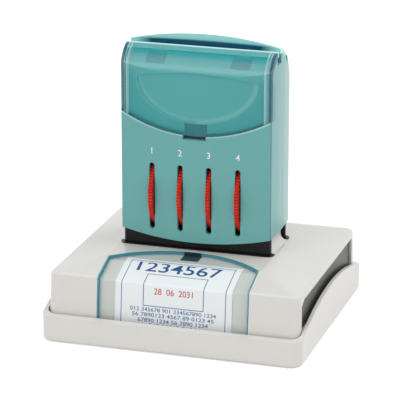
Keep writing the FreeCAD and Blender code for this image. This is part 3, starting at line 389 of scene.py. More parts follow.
def moulded(name, base, roughness, grain=1.0, edge=None, gloss=0.5, mark=None, sheen=0.0):
    """Injection moulded plastic: faint clouds, fine grain, uneven gloss and rounded edges, with a painted
    sheen at grazing angles where asked.
    """
    finish = material(name)
    clouds = finish.noise(CLOUD_SCALE, 3.0)
    grains = finish.noise(GRAIN_SCALE, 2.0)
    tint = finish.mix(clouds, shaded(base, 0.97), shaded(base, 1.03))
    if mark:
        tint = mark(finish, tint)
    # Painted sheen: base colour turns pale where the surface turns away from view, in place of the
    # surroundings' reflection.
    if sheen:
        facing = finish.add("ShaderNodeLayerWeight", {}, {"Blend": 0.5}, 1)
        tint = finish.mix(sheen * facing.ramp(0.72, 0.96), tint, colours().painted_sheen)
    direction = finish.rounded(edge or sizes().edge_round)
    finish.set(
        Base_Color=tint,
        Roughness=roughness + 0.08 * (clouds - 0.5) + 0.05 * (grains - 0.5),
        IOR=PLASTIC_IOR,
        Specular_IOR_Level=gloss,
        Normal=finish.bump(grains, 0.00002 * grain, 0.35, direction))
    return finish.holder


def past_lid_arc(finish):
    """Distance past the arc that the lid's lower edge follows; above the arc it is negative."""
    return finish.reach(0, 0.0, 2, LID_ARC_Z) - LID_ARC_RADIUS


def shell_marks(finish, tint):
    """Painted shade in the seams at the front shell's side edges, and a painted highlight on the lip under
    the lid.
    """
    past = past_lid_arc(finish)
    # Painted highlight: a pale line on the shell's lip just under the lid's lower edge.
    lip = (1 - past.ramp(*LIP_FADE)) * (past > 0.0) * (finish.part(1) < LIP_FRONT_Y)
    # Painted shade in the seams at the shell's side edges.
    seam = abs(finish.part(0)).ramp(*SHELL_EDGE_X) * (finish.part(1) > SHELL_BACK_Y)
    tint = finish.mix(lip * 0.85, tint, colours().edge_highlight)
    return finish.mix(seam, tint, colours().seam)


def housing_marks(finish, tint):
    """Painted shade on the rear wall of the window's pull slot."""
    height = finish.part(2)
    wall = (abs(finish.part(0)) < SLOT_HALF_WIDTH) * (
        abs(finish.part(1) - SLOT_WALL_Y) < SLOT_WALL_REACH)
    wall = wall * (height > SLOT_LOW_Z) * (height < SLOT_HIGH_Z)
    return finish.mix(wall, tint, colours().slot)


def body_marks(finish, tint):
    """Painted shade in the seams, round the dish under the lid and in the gap behind its top; a painted
    highlight on the dish's rim.
    """
    across, depth, height = finish.part(0), finish.part(1), finish.part(2)
    side = abs(across)
    outer = side.ramp(*BODY_EDGE_X)
    front, rear = (depth < BODY_FRONT_Y) * outer, (depth > BODY_REAR_Y) * outer
    # Painted shade in the gap behind the lid's top.
    gap = (height > GAP_LOW_Z) * (1 - side.ramp(*GAP_EDGE_X)) * depth.ramp(*GAP_Y)
    covered = (depth < SHOULDER_Y) * (1 - past_lid_arc(finish).ramp(*SHOULDER_FADE))
    share, drop = across / DISH_HALF_WIDTH, (height - DISH_TOP_Z) / DISH_DROP
    inside = (share * share + drop * drop) ** 0.5
    # Painted highlight along the dish's rim, stronger on the right side.
    rim = inside.band(*DISH_RIM) * (height < DISH_TOP_Z) * covered
    # Painted shade: the shoulder round the dish under the lid turns deeper teal.
    shade_round_dish = inside.ramp(*AROUND_DISH) * (1 - height.ramp(*AROUND_TOP_Z)) * covered
    tint = finish.mix(0.55 * shade_round_dish, tint, colours().covered)
    tint = finish.mix(rim * (0.25 + 0.2 * (across > 0.0)), tint, colours().edge_highlight)
    tint = finish.mix(gap, tint, colours().gap_shade)
    # Painted shade in the seams at the front and rear of the body.
    return finish.mix(front + 0.6 * rear, tint, colours().seam)


def lid_plastic():
    """Tinted clear plastic; painted shade of deep blue along the rims and the lower edge, with painted
    highlights beside it.
    """
    finish = material("lid_plastic")
    across, depth, height = finish.part(0), finish.part(1), finish.part(2)
    side = abs(across)
    clouds = finish.noise(45.0, 2.0)
    # Painted shade: deep blue toward the rims and along the lower edge.
    rim = 0.4 * side.ramp(*LID_RIM_X) + 0.6 * side.ramp(*LID_EDGE_X)
    # Painted highlights: pale lines along the rims.
    rim_highlight = side.band(*LID_HIGHLIGHT_X).either(0.6 * side.band(*LID_FINE_HIGHLIGHT_X))
    over_latch = (side < LATCH_HALF_WIDTH) * (height < LATCH_TOP_Z)
    lower = past_lid_arc(finish).ramp(*LID_LOWER_FADE) * (1 - over_latch)
    # Painted highlight along the lid's upper edge.
    upper = depth.ramp(*LID_UPPER_Y)
    full = height.ramp(*LID_FULL_Z) * (1 - upper)
    # Painted reflection: a pale band across the shoulder where the key lamp would reflect.
    reflection_band = 0.4 * height.band(*LID_REFLECTION_Z)
    tint = finish.mix(clouds, shaded(colours().lid, 0.97), shaded(colours().lid, 1.03))
    tint = finish.mix(full, finish.mix(reflection_band, tint, colours().lid_highlight), colours().lid_top)
    tint = finish.mix(rim.either(lower), tint, colours().lid_edge_shade)
    tint = finish.mix(rim_highlight.either(upper), tint, colours().lid_highlight)
    hold = 0.16 + 0.34 * full + 0.25 * reflection_band + 0.45 * rim + 0.3 * lower
    hold = hold + 0.03 * (clouds - 0.5)
    finish.set(
        Base_Color=tint,
        Roughness=0.17 + 0.04 * (clouds - 0.5),
        IOR=PLASTIC_IOR,
        Specular_IOR_Level=0.5,
        Alpha=hold.either(rim_highlight * 0.5).either(upper * 0.85).ramp(0.0, 1.0))
    return finish.holder


def cap_plastic():
    """Milky mint plastic, deeper behind, with a blue lens of painted shade in front that narrows to its
    ends.
    """
    finish = material("cap_plastic")
    height, depth = finish.part(2), finish.part(1)
    clouds = finish.noise(45.0, 2.0)
    # Painted shade: the blue lens is the shaded front wall of the gap between cap and lid.
    lens = (1 - height.ramp(*LENS_Z)) * (1 - depth.ramp(*LENS_Y))
    lens = lens * (1 - abs(finish.part(0)).ramp(*LENS_X))
    rear = 1 - height.ramp(*CAP_REAR_Z)
    facing = finish.add("ShaderNodeLayerWeight", {}, {"Blend": 0.3}, 1)
    tint = finish.mix(clouds, shaded(colours().cap, 0.97), colours().cap)
    tint = finish.mix(rear * 0.6, tint, colours().lid_top)
    tint = finish.mix(lens, tint, colours().gap_shade)
    finish.set(
        Base_Color=tint,
        Roughness=0.12 + 0.04 * (clouds - 0.5),
        IOR=PLASTIC_IOR,
        Alpha=(0.92 + 0.08 * facing + 0.3 * lens + 0.03 * (clouds - 0.5)).ramp(0.0, 1.0))
    return finish.holder


def window_plastic():
    """Nearly clear plastic with teal cut edges round its sides and its arc, darkened with painted shade of
    the gap round the window.
    """
    finish = material("window_plastic")
    half, apex, arc_y, arc_radius = window_outline()
    clouds = finish.noise(CLOUD_SCALE, 2.0)
    side, depth = abs(finish.part(0)), finish.part(1)
    arc = (finish.reach(0, 0.0, 1, arc_y) - arc_radius).ramp(*WINDOW_ARC_FADE)
    edge = (side - half).ramp(*WINDOW_SIDE_FADE).either(arc * (depth > apex - 30 * MM))
    margin = (side > WINDOW_MARGIN_X).either(depth > WINDOW_MARGIN_Y)
    finish.set(
        Base_Color=finish.mix(edge, colours().window, colours().edge_teal_and_gap_shade),
        Roughness=0.05 + 0.03 * (clouds - 0.5),
        IOR=PLASTIC_IOR,
        Alpha=(0.02 + 0.03 * margin + 0.01 * (clouds - 0.5) + 0.8 * edge).ramp(0.0, 1.0))
    return finish.holder


def ribbed_red():
    """Glossy red plastic, with painted shade in the grooves between the wheel's ribs."""
    finish = material("wheel_plastic")
    clouds = finish.noise(80.0, 3.0)
    wear = finish.noise(900.0, 2.0)
    rim = finish.reach(1, WHEEL_Y, 2, WHEEL_Z)
    groove_shade = 1 - (rim - WHEEL_RADIUS).ramp(*GROOVE_FADE)
    tint = finish.mix(clouds, shaded(colours().wheel, 0.92), shaded(colours().wheel, 1.06))
    finish.set(
        Base_Color=finish.mix(groove_shade * 0.5, tint, colours().wheel_groove_shade),
        Roughness=0.36 + 0.1 * (wear - 0.5),
        IOR=PLASTIC_IOR,
        Specular_IOR_Level=0.2,
        Normal=finish.bump(wear, 0.00002, 0.4))
    return finish.holder


def brushed_steel(name, base):
    """Drawn steel with streaks along X."""
    finish = material(name)
    streaks = finish.noise(900.0, 3.0, finish.stretched(0.05, 1.0, 1.0))
    finish.set(
        Base_Color=finish.mix(streaks, shaded(base, 0.82), shaded(base, 1.05)),
        Metallic=1.0,
        Roughness=0.25 + 0.2 * streaks,
        Normal=finish.bump(streaks, 0.00001, 0.5))
    return finish.holder


def soaked_felt(name, base):
    """Pressed felt, unevenly soaked."""
    finish = material(name)
    soak = finish.noise(120.0, 4.0)
    fibres = finish.noise(3000.0, 4.0)
    finish.set(
        Base_Color=finish.mix(soak, shaded(base, 0.6), shaded(base, 1.3)),
        Roughness=0.85 + 0.1 * fibres,
        Normal=finish.bump(fibres, 0.0001, 0.8))
    return finish.holder


def moulded_rubber(name, base):
    """Matt rubber with a fine tooth and a dusty bloom."""
    finish = material(name)
    bloom = finish.noise(150.0, 3.0)
    tooth = finish.noise(2200.0, 2.0)
    finish.set(
        Base_Color=finish.mix(bloom, shaded(base, 0.85), shaded(base, 1.2)),
        Roughness=0.62 + 0.15 * bloom,
        Normal=finish.bump(tooth, 0.00003, 0.6))
    return finish.holder


def card_stock(name, base):
    """Coated card with a faint fibre."""
    finish = material(name)
    fibre = finish.noise(1800.0, 4.0)
    finish.set(
        Base_Color=finish.mix(fibre, shaded(base, 0.97), base),
        Roughness=0.5 + 0.1 * fibre,
        Normal=finish.bump(fibre, 0.00001, 0.4))
    return finish.holder


def ink(name, base):
    """Printed ink that has taken a little unevenly."""
    finish = material(name)
    grip = finish.noise(1500.0, 3.0)
    finish.set(
        Base_Color=finish.mix(grip, shaded(base, 0.9), shaded(base, 1.12)),
        Roughness=0.5 + 0.1 * grip)
    return finish.holder


def dress(finish, *nodes):
    """Give nodes their finish."""
    for node in nodes:
        piece = NODES[node]
        piece.data.materials.clear()
        piece.data.materials.append(finish)


def colours():
    """The scene's colours."""
    return bpy.context.scene.stamp_colours


def sizes():
    """The scene's sizes."""
    return bpy.context.scene.stamp_sizes


def studio():
    """The scene's camera and light settings."""
    return bpy.context.scene.stamp_studio


def arc_through(half, end, middle):
    """Centre and radius of the arc through (-half, end), (0, middle) and (half, end)."""
    rise = end - middle
    radius = (half * half + rise * rise) / (2 * abs(rise))
    return middle + math.copysign(radius, rise), radius


def window_outline():
    """Half width, apex, and the rear arc's centre and radius, from the window's own corners."""
    low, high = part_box("index_window")
    centre, radius = arc_through(high.x, high.y - WINDOW_ARC_RISE, WINDOW_APEX_Y)
    return high.x, WINDOW_APEX_Y, centre, radius


DISH_HALF_WIDTH, DISH_TOP_Z, DISH_DROP = 24.1 * MM, 98.6 * MM, 16.7 * MM
WINDOW_APEX_Y = -16.15 * MM
WINDOW_ARC_RISE = 13.05 * MM
LID_ARC_Z, LID_ARC_RADIUS = arc_through(30.4 * MM, 84.8 * MM, 77.1 * MM)
WHEEL_LOW, WHEEL_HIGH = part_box("thumb_wheel_1")
WHEEL_RADIUS = (WHEEL_HIGH.z - WHEEL_LOW.z) / 2
WHEEL_Y, WHEEL_Z = (WHEEL_HIGH.y + WHEEL_LOW.y) / 2, (WHEEL_HIGH.z + WHEEL_LOW.z) / 2


def piece_from(name, mesh, finish, body):
    """Link a mesh as a piece that rides on a body."""
    piece = bpy.data.objects.new(name, mesh)
    bpy.context.scene.collection.objects.link(piece)
    mesh.materials.clear()
    mesh.materials.append(finish)
    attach(piece, body)
    return piece


def numerals(text, height, x=0.0, y=0.0, width=None, weight=0.0):
    """Flat numerals as a mesh in its own X and Y, centred on x, standing on y."""
    curve = bpy.data.curves.new("numerals", "FONT")
    curve.body = text
    curve.size = height * FONT_SIZE_FOR_HEIGHT
    curve.offset = weight
    curve.align_x = "CENTER"
    curve.resolution_u = 4
    holder = bpy.data.objects.new("numerals", curve)
    bpy.context.scene.collection.objects.link(holder)
    bpy.context.view_layer.update()
    made = holder.evaluated_get(bpy.context.evaluated_depsgraph_get())
    mesh = bpy.data.meshes.new_from_object(made)
    bpy.data.objects.remove(holder)
    across = [v.co.x for v in mesh.vertices]
    stretch = width / (max(across) - min(across)) if width else 1.0
    middle = (max(across) + min(across)) / 2
    for v in mesh.vertices:
        v.co.x = (v.co.x - middle) * stretch + x
        v.co.y += y
    return mesh


def rows(widths, bases, height, weight):
    """Rows of small numerals, their widths and standing heights given in millimetres."""
    return [
        numerals(text, height, y=base * MM, width=width * MM, weight=weight)
        for text, width, base in zip(ROW_NUMERALS, widths, bases)]


def strip(x0, x1, y0, y1, steps=24, along_x=None):
    """Flat strip in X and Y, divided along its longer way or the way given."""
    form = bmesh.new()
    if along_x is None:
        along_x = x1 - x0 > y1 - y0
    last = None
    for i in range(steps + 1):
        share = i / steps
        if along_x:
            x = x0 + (x1 - x0) * share
            pair = [form.verts.new((x, y0, 0)), form.verts.new((x, y1, 0))]
        else:
            y = y0 + (y1 - y0) * share
            pair = [form.verts.new((x1, y, 0)), form.verts.new((x0, y, 0))]
        if last:
            form.faces.new((last[0], pair[0], pair[1], last[1]))
        last = pair
    mesh = bpy.data.meshes.new("strip")
    form.to_mesh(mesh)
    form.free()
    return mesh


def joined(meshes, place, folds=()):
    """One mesh of several, cut across at the folds, with every point moved to place(x, y)."""
    form = bmesh.new()
    for mesh in meshes:
        form.from_mesh(mesh)
        bpy.data.meshes.remove(mesh)
    for fold in folds:
        whole = form.verts[:] + form.edges[:] + form.faces[:]
        bmesh.ops.bisect_plane(form, geom=whole, plane_co=(0, fold, 0), plane_no=(0, 1, 0))
    for v in form.verts:
        v.co = place(v.co.x, v.co.y)
    made = bpy.data.meshes.new("print")
    form.to_mesh(made)
    form.free()
    return made


def box_rules(x, low, high, rule):
    """The four strips of a box's outline, from -x to x and from low to high."""
    return [
        strip(-x, x, high - rule, high), strip(-x, x, low, low + rule),
        strip(-x, rule - x, low + rule, high - rule), strip(x - rule, x, low + rule, high - rule)]


def laid_on(node, lift):
    """Function that lays a point (x, z) on a node's front, seen from -Y."""
    tree = BVHTree.FromObject(NODES[node], bpy.context.evaluated_depsgraph_get())

    def place(x, z):
        point = tree.ray_cast(Vector((x, -1, z)), Vector((0, 1, 0)))[0]
        return Vector((x, point.y - lift, z))

    return place


def raised(meshes, low, high):
    """Type that stands out below a face: flat meshes made solid between two heights."""
    form = bmesh.new()
    for mesh in meshes:
        form.from_mesh(mesh)
        bpy.data.meshes.remove(mesh)
    for v in form.verts:
        v.co.z = high
    grown = bmesh.ops.extrude_face_region(form, geom=form.faces[:])
    for v in grown["geom"]:
        if isinstance(v, bmesh.types.BMVert):
            v.co.z = low
    bmesh.ops.recalc_face_normals(form, faces=form.faces[:])
    return form


def with_face_at(node, face, height):
    """Copy of a node's form whose lowest face is moved to a height."""
    form = bmesh.new()
    form.from_mesh(NODES[node].data)
    for v in form.verts:
        if v.co.z < face + SAME_FACE:
            v.co.z = height
    return form


def merged(name, *forms):
    """One mesh of several forms."""
    mesh = bpy.data.meshes.new(name)
    whole = bmesh.new()
    for form in forms:
        form.to_mesh(mesh)
        form.free()
        whole.from_mesh(mesh)
    whole.to_mesh(mesh)
    whole.free()
    return mesh


class CardPath:
    """Side view of the card: up the front, round the fold, up the roof and on over its flat."""

    def __init__(self, fold, reach):
        corners = [v.co for v in NODES["index_card"].data.vertices]
        low_z, back_y = min(c.z for c in corners), max(c.y for c in corners)
        low = min((c for c in corners if c.z < low_z + SAME_EDGE), key=lambda c: c.y)
        crease = max(corners, key=lambda c: c.z - c.y)
        rear = max((c for c in corners if c.y > back_y - SAME_EDGE), key=lambda c: c.z)
        self.half_width = max(c.x for c in corners)
        knots = [Vector((c.y, c.z)) for c in (low, crease, rear)]
        knots.append(knots[-1] + Vector((reach, 0)))
        self.points, self.outs, self.steps = [], [], [0.0]
        self.bend(knots, fold)
        for first, second in zip(self.points, self.points[1:]):
            self.steps.append(self.steps[-1] + (second - first).length)
        self.length = self.steps[-1]

    def bend(self, knots, fold):
        """Points along the knots, with each inner knot rounded to the fold's radius."""
        first = (knots[1] - knots[0]).normalized()
        self.note(knots[0], Vector((-first.y, first.x)))
        for before, knot, after in zip(knots, knots[1:], knots[2:]):
            inward, onward = (knot - before).normalized(), (after - knot).normalized()
            turn = inward.angle(onward)
            start = knot - inward * fold * math.tan(turn / 2)
            centre = start + Vector((inward.y, -inward.x)) * fold
            side = Vector((-inward.y, inward.x))
            for i in range(FOLD_STEPS + 1):
                angle = turn * i / FOLD_STEPS
                out = side * math.cos(angle) + inward * math.sin(angle)
                self.note(centre + out * fold, out)
        last = (knots[-1] - knots[-2]).normalized()
        self.note(knots[-1], Vector((-last.y, last.x)))

    def note(self, point, out):
        """Keep one point and the direction away from the housing there."""
        self.points.append(point)
        self.outs.append(out)

    def at(self, x, distance, lift=0.0):
        """Point of the card's face at a distance up its path."""
        i = 1
        while i < len(self.steps) - 1 and self.steps[i] < distance:
            i += 1
        share = (distance - self.steps[i - 1]) / (self.steps[i] - self.steps[i - 1])
        point = self.points[i - 1].lerp(self.points[i], share)
        point = point + self.outs[i - 1].lerp(self.outs[i], share) * lift
        return Vector((x, point.x, point.y))


class STAMP_OT_tray(Operator):
    """Finish the dust cover tray"""

    bl_idname = "stamp.tray"
    bl_label = "Dust cover tray"

    def execute(self, context):
        dress(moulded("tray_plastic", colours().shell, 0.3), "dust_cover")
        return {"FINISHED"}


class STAMP_OT_housing(Operator):
    """Finish the base housing, its side panels and its frame"""

    bl_idname = "stamp.housing"
    bl_label = "Housing"

    def execute(self, context):
        shell = moulded("housing_plastic", colours().shell, 0.26, mark=housing_marks)
        panel = moulded("panel_plastic", colours().panel, 0.42, grain=3.0)
        black = moulded("frame_plastic", colours().neck, 0.35, edge=sizes().fine_round)
        dress(shell, "housing_shell")
        dress(panel, "side_panel_left", "side_panel_right")
        dress(black, "base_frame")
        return {"FINISHED"}


class STAMP_OT_neck(Operator):
    """Finish the black neck, its guides and the window's catch"""

    bl_idname = "stamp.neck"
    bl_label = "Neck"

    def execute(self, context):
        edge = sizes().fine_round
        black = moulded("neck_plastic", colours().neck, 0.34, gloss=0.25, edge=edge)
        dress(black, "neck_frame", "neck_guide_front", "neck_guide_rear")
        # The catch is coloured with painted shade, so that the pull slot over it reads dark.
        dress(moulded("window_catch_painted_shade", colours().slot, 0.35, edge=edge), "window_catch")
        return {"FINISHED"}


class STAMP_OT_window(Operator):
    """Finish the clear window"""

    bl_idname = "stamp.window"
    bl_label = "Window"

    def execute(self, context):
        dress(window_plastic(), "index_window")
        return {"FINISHED"}


class STAMP_OT_card(Operator):
    """Make the folded card and its print"""

    bl_idname = "stamp.card"
    bl_label = "Card"

    def execute(self, context):
        path = CardPath(sizes().card_fold, sizes().card_reach)
        half, rule, lift = path.half_width, sizes().card_rule, sizes().print_lift
        sheet = joined([strip(-half, half, 0, path.length, 160, False)], path.at)
        stock = card_stock("card_stock", colours().card)
        card = piece_from("printed_card", sheet, stock, "base")
        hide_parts("index_card")
        thickness = card.modifiers.new("Thickness", "SOLIDIFY")
        thickness.thickness = sizes().card_thickness
        thickness.offset = -1

        def printed(x, y):
            return path.at(x, y, lift)

        def put(name, meshes, finish):
            mesh = joined(meshes, printed, path.steps[1:-1])
            piece_from(name, mesh, finish, "base")

        top, outer = path.length - 1.7 * MM, 20.9 * MM
        inner, inner_low, inner_top = 12.1 * MM, 11.0 * MM, 25.7 * MM
        pale = ink("pale_ink", colours().pale_ink)
        put("card_rules", [
            strip(-outer, -outer + rule, 0, top, 120),
            strip(outer - rule, outer, 0, top, 120),
            strip(-outer, outer, top - rule * 1.3, top),
            strip(-inner, -inner + rule, inner_low, inner_top, 80),
            strip(inner - rule, inner, inner_low, inner_top, 80),
            strip(-inner, inner, inner_top - rule, inner_top),
            strip(-inner, inner, inner_low, inner_low + rule),
        ], pale)
        heading = numerals(
            sizes().heading, 5.6 * MM, x=-0.6 * MM, y=27.2 * MM, width=33.4 * MM, weight=0.07 * MM)
        put("card_heading", [heading], ink("blue_ink", colours().blue_ink))
        date = numerals(sizes().date, 2.4 * MM, y=15.9 * MM, width=15.4 * MM, weight=0.02 * MM)
        put("card_date", [date], ink("red_ink", colours().red_ink))
        small = rows((34.2, 32.6, 28.0, 19.2), (9.0, 6.95, 4.85, 2.8), 1.5 * MM, 0.02 * MM)
        put("card_rows", small, pale)
        return {"FINISHED"}


class STAMP_OT_handle(Operator):
    """Finish the handle's shells, clips and catch, and number its wheels"""

    bl_idname = "stamp.handle"
    bl_label = "Handle"

    def execute(self, context):
        teal = colours().handle
        # The handle's shells get a painted sheen where they turn away.
        dress(moulded("front_plastic", teal, 0.3, mark=shell_marks, sheen=0.7), "front_shell")
        dress(moulded("body_plastic", teal, 0.3, mark=body_marks, sheen=0.7), "handle_body")
        dress(moulded("rear_plastic", teal, 0.3, sheen=0.7), "rear_shell")
        dark = moulded("catch_plastic", colours().catch, 0.3, edge=sizes().fine_round)
        dress(dark, "lid_clip_left", "lid_clip_right", "lid_latch")
        self.hinge_pads()
        self.wheel_numbers()
        return {"FINISHED"}

    def hinge_pads(self):
        """Thin pads on the shoulder in front of each clip, which show through the lid."""
        place = laid_on("handle_body", PAD_LIFT)
        parts = (("hinge_pads_low", PAD_LOW_Z, PAD_MIDDLE_Z, colours().clip_low),
                 ("hinge_pads_top", PAD_MIDDLE_Z, PAD_TOP_Z, colours().clip_top))
        for name, low, high, base in parts:
            meshes = []
            for clip in ("lid_clip_left", "lid_clip_right"):
                first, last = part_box(clip)
                meshes.append(strip(first.x, last.x, low, high, steps=8, along_x=False))
            finish = moulded(name, base, 0.35)
            pads = piece_from(name, joined(meshes, place), finish, "handle")
            thickness = pads.modifiers.new("Thickness", "SOLIDIFY")
            thickness.thickness = PAD_THICKNESS

    def wheel_numbers(self):
        """Small white numerals on the front shell, one over each wheel's slot."""
        meshes = []
        for i, mark in enumerate(sizes().wheel_marks):
            low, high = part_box("thumb_wheel_%d" % (i + 1))
            x, y = (low.x + high.x) / 2, high.z + 2.3 * MM
            meshes.append(numerals(mark, 2.5 * MM, x=x, y=y, weight=0.03 * MM))
        mesh = joined(meshes, laid_on("front_shell", sizes().print_lift))
        white = ink("white_ink", colours().white_ink)
        piece_from("wheel_numbers", mesh, white, "handle")


class STAMP_OT_lid(Operator):
    """Finish the translucent lid and the cap behind it"""

    bl_idname = "stamp.lid"
    bl_label = "Lid and cap"

    def execute(self, context):
        dress(lid_plastic(), "front_lid")
        dress(cap_plastic(), "top_cap")
        return {"FINISHED"}


class STAMP_OT_wheels(Operator):
    """Finish the four thumb wheels and their drums, and make the type bands"""

    bl_idname = "stamp.wheels"
    bl_label = "Wheels and bands"

    def execute(self, context):
        red = ribbed_red()
        rubber = moulded_rubber("band_rubber", colours().band)
        for count, text in enumerate(("28", "06", "20", "31"), 1):
            dress(red, "thumb_wheel_%d" % count, "band_drum_%d" % count)
            node = "type_band_%d" % count
            low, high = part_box(node)
            face, x = low.z + BAND_TYPE_RISE, (low.x + high.x) / 2
            mark = numerals(text, 2.0 * MM, x=x, y=-3.6 * MM, width=2.7 * MM, weight=0.02 * MM)
            mesh = merged("band", with_face_at(node, low.z, face), raised([mark], low.z, face))
            band = piece_from("printing_band_%d" % count, mesh, rubber, "handle")
            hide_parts(node)
        return {"FINISHED"}


class STAMP_OT_works(Operator):
    """Finish the axle, comb and screws, and make the springs, felts and printing slab"""

    bl_idname = "stamp.works"
    bl_label = "Inner works"

    def execute(self, context):
        steel = brushed_steel("bright_steel", colours().steel)
        dress(steel, "wheel_axle", "axle_clips", "detent_comb")
        dress(steel, "base_screws", "holder_screws", "shell_screws")
        black = moulded("holder_plastic", colours().neck, 0.4, edge=sizes().fine_round)
        dress(black, "die_holder", "band_platen", "wheel_spacers")
        self.felts()
        self.slab()
        self.springs(steel)
        return {"FINISHED"}

    def felts(self):
        """Felts with a soft uneven skin."""
        felt = soaked_felt("soaked_felt", colours().felt)
        lumps = bpy.data.textures.new("lumps", "CLOUDS")
        lumps.noise_scale = 1.5 * MM
        grain = sizes().felt_grain
        for node, name, size in (("ink_felt", "ink_pad", grain), ("platen_felt", "platen_pad", grain / 2)):
            pad = piece_from(name, NODES[node].data.copy(), felt, "handle")
            skin = pad.modifiers.new("Skin", "REMESH")
            skin.mode = "VOXEL"
            skin.voxel_size = size
            skin.use_smooth_shade = True
            uneven = pad.modifiers.new("Uneven", "DISPLACE")
            uneven.texture = lumps
            uneven.strength = 0.12 * MM
            uneven.mid_level = 1.0
            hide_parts(node)

    def slab(self):
        """Printing slab with raised rules and numerals round its date window."""
        low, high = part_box("message_die")
        face = low.z + sizes().type_rise
        margin, rule = 2.5 * MM, 0.6 * MM
        x, y = high.x - margin, high.y - margin
        meshes = box_rules(x, -y, y, rule) + box_rules(22 * MM, -14 * MM, 9 * MM, rule)
        meshes.append(numerals(sizes().heading, 10 * MM, y=14 * MM, width=60 * MM, weight=0.12 * MM))
        meshes += rows((62.0, 59.0, 51.0), (-18.6, -22.6, -26.6), 2.7 * MM, 0.03 * MM)
        plain = with_face_at("message_die", low.z, face)
        mesh = merged("slab", plain, raised(meshes, low.z, face))
        rubber = moulded_rubber("die_rubber", colours().die)
        slab = piece_from("printing_slab", mesh, rubber, "handle")
        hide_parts("message_die")

    def springs(self, steel):
        """Four coil springs at the corners of the return springs."""
        low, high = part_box("return_springs")
        wire, height = sizes().spring_wire, high.z - low.z
        x, y = high.x - SPRING_RADIUS - wire / 2, high.y - SPRING_RADIUS - wire / 2
        joints = frame["record"]["behaviour"]["joints"]
        stroke = next(joint for joint in joints if joint["name"] == "press_slide")["range_m"][1]
        for count, (side, end) in enumerate(((-1, -1), (1, -1), (-1, 1), (1, 1)), 1):
            foot = (side * x, end * y, low.z)
            mesh = coil(Vector(foot), SPRING_RADIUS, wire, height, SPRING_TURNS)
            spring = piece_from("coil_spring_%d" % count, mesh, steel, "base")
            1 - stroke / height
            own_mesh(spring)
            if count == 1:
                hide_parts("return_springs")


def coil(foot, radius, wire, height, turns):
    """Wire wound up from a foot, with a flat turn at each end."""
    form = bmesh.new()
    steps = TURN_STEPS * (turns + 1)
    rings = []
    for i in range(steps + 1):
        angle = 2 * math.pi * i / TURN_STEPS
        climb = min(1.0, max(0.0, (i - TURN_STEPS / 2) / (steps - TURN_STEPS)))
        z = wire / 2 + (height - wire) * climb
        out = Vector((math.cos(angle), math.sin(angle), 0))
        ring = []
        for j in range(WIRE_SIDES):
            turn = 2 * math.pi * j / WIRE_SIDES
            reach, rise = radius + wire / 2 * math.cos(turn), z + wire / 2 * math.sin(turn)
            ring.append(form.verts.new(foot + out * reach + Vector((0, 0, rise))))
        rings.append(ring)
    for first, second in zip(rings, rings[1:]):
        for j in range(WIRE_SIDES):
            face = form.faces.new((first[j], first[j - 1], second[j - 1], second[j]))
            face.smooth = True
    form.faces.new(rings[0])
    form.faces.new(rings[-1][::-1])
    bmesh.ops.recalc_face_normals(form, faces=form.faces[:])
    mesh = bpy.data.meshes.new("coil")
    form.to_mesh(mesh)
    form.free()
    return mesh


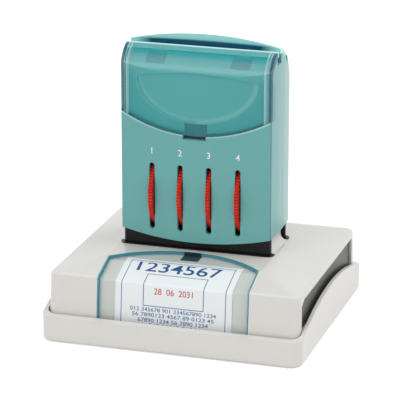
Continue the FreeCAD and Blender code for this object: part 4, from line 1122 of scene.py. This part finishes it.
class STAMP_OT_stage(Operator):
    """Set the floor, the lights and the camera"""

    bl_idname = "stamp.stage"
    bl_label = "Studio"

    def execute(self, context):
        self.floor()
        self.world()
        self.lamp("key_light", studio().key_place, studio().key_size, studio().key)
        self.lamp("side_light", studio().side_place, studio().side_size, studio().side)
        self.camera()
        context.scene.view_settings.view_transform = "Standard"
        return {"FINISHED"}

    def floor(self):
        """A pale floor that glows for what is seen, so that it is white and keeps the shadow."""
        form = bmesh.new()
        bmesh.ops.create_grid(form, x_segments=1, y_segments=1, size=4.0)
        mesh = bpy.data.meshes.new("floor")
        form.to_mesh(mesh)
        form.free()
        ground = bpy.data.objects.new("floor", mesh)
        ground.location.z = CAD_BOX[0].z
        bpy.context.scene.collection.objects.link(ground)
        finish = material("floor_paper")
        glow = finish.mix(finish.seen(), (0.0, 0.0, 0.0), (1.0, 1.0, 1.0))
        finish.set(
            Base_Color=(0.86, 0.86, 0.86),
            Roughness=0.9,
            Emission_Color=glow,
            Emission_Strength=studio().floor_glow)
        mesh.materials.append(finish.holder)

    def world(self):
        """White surroundings: what the camera and reflections see is 1, what lights is set."""
        world = bpy.data.worlds.new("studio")
        bpy.context.scene.world = world
        finish = Finish(world)
        strength = studio().world + (1 - studio().world) * finish.seen()
        finish.set(Color=(1.0, 1.0, 1.0), Strength=strength)

    def lamp(self, name, place, size, power):
        """Square soft lamp that faces the object."""
        data = bpy.data.lights.new(name, "AREA")
        data.shape = "SQUARE"
        data.size = size
        data.energy = power
        lamp = bpy.data.objects.new(name, data)
        lamp.location = place
        aim = Vector(studio().aim)
        lamp.rotation_euler = (aim - lamp.location).to_track_quat("-Z", "Y").to_euler()
        bpy.context.scene.collection.objects.link(lamp)

    def camera(self):
        """Camera at the photograph's angle."""
        settings = studio()
        turn, rise = math.radians(settings.azimuth), math.radians(settings.elevation)
        flat = math.cos(rise)
        back = Vector((math.sin(turn) * flat, -math.cos(turn) * flat, math.sin(rise)))
        data = bpy.data.cameras.new("camera")
        data.lens = settings.lens
        data.sensor_width = 36.0
        data.clip_end = 20.0
        camera = bpy.data.objects.new("camera", data)
        camera.location = Vector(settings.aim) + back * settings.distance
        camera.rotation_euler = (-back).to_track_quat("-Z", "Y").to_euler()
        bpy.context.scene.collection.objects.link(camera)
        bpy.context.scene.camera = camera


class STAMP_PT_panel(Panel):
    """Date stamp tools in the sidebar"""

    bl_label = "Date Stamp"
    bl_idname = "STAMP_PT_panel"
    bl_space_type = "VIEW_3D"
    bl_region_type = "UI"
    bl_category = "Date Stamp"

    def draw(self, context):
        layout = self.layout
        for operator in OPERATORS:
            layout.operator(operator.bl_idname)
        for group in (colours(), sizes(), studio()):
            for name in group.bl_rna.properties.keys():
                if name not in ("rna_type", "name"):
                    layout.prop(group, name)


GROUPS = (StampColours, StampSizes, StampStudio)
OPERATORS = (
    STAMP_OT_stage,
    STAMP_OT_tray,
    STAMP_OT_housing,
    STAMP_OT_neck,
    STAMP_OT_window,
    STAMP_OT_card,
    STAMP_OT_handle,
    STAMP_OT_lid,
    STAMP_OT_wheels,
    STAMP_OT_works,
)


def register():
    for made in (*GROUPS, *OPERATORS, STAMP_PT_panel):
        bpy.utils.register_class(made)
    bpy.types.Scene.stamp_colours = PointerProperty(type=StampColours)
    bpy.types.Scene.stamp_sizes = PointerProperty(type=StampSizes)
    bpy.types.Scene.stamp_studio = PointerProperty(type=StampStudio)


def unregister():
    del bpy.types.Scene.stamp_studio
    del bpy.types.Scene.stamp_sizes
    del bpy.types.Scene.stamp_colours
    for made in reversed((*GROUPS, *OPERATORS, STAMP_PT_panel)):
        bpy.utils.unregister_class(made)


def main():
    """Make every piece."""
    register()
    for operator in OPERATORS:
        group, name = operator.bl_idname.split(".")
        getattr(getattr(bpy.ops, group), name)()


if __name__ == "__main__":
    main()
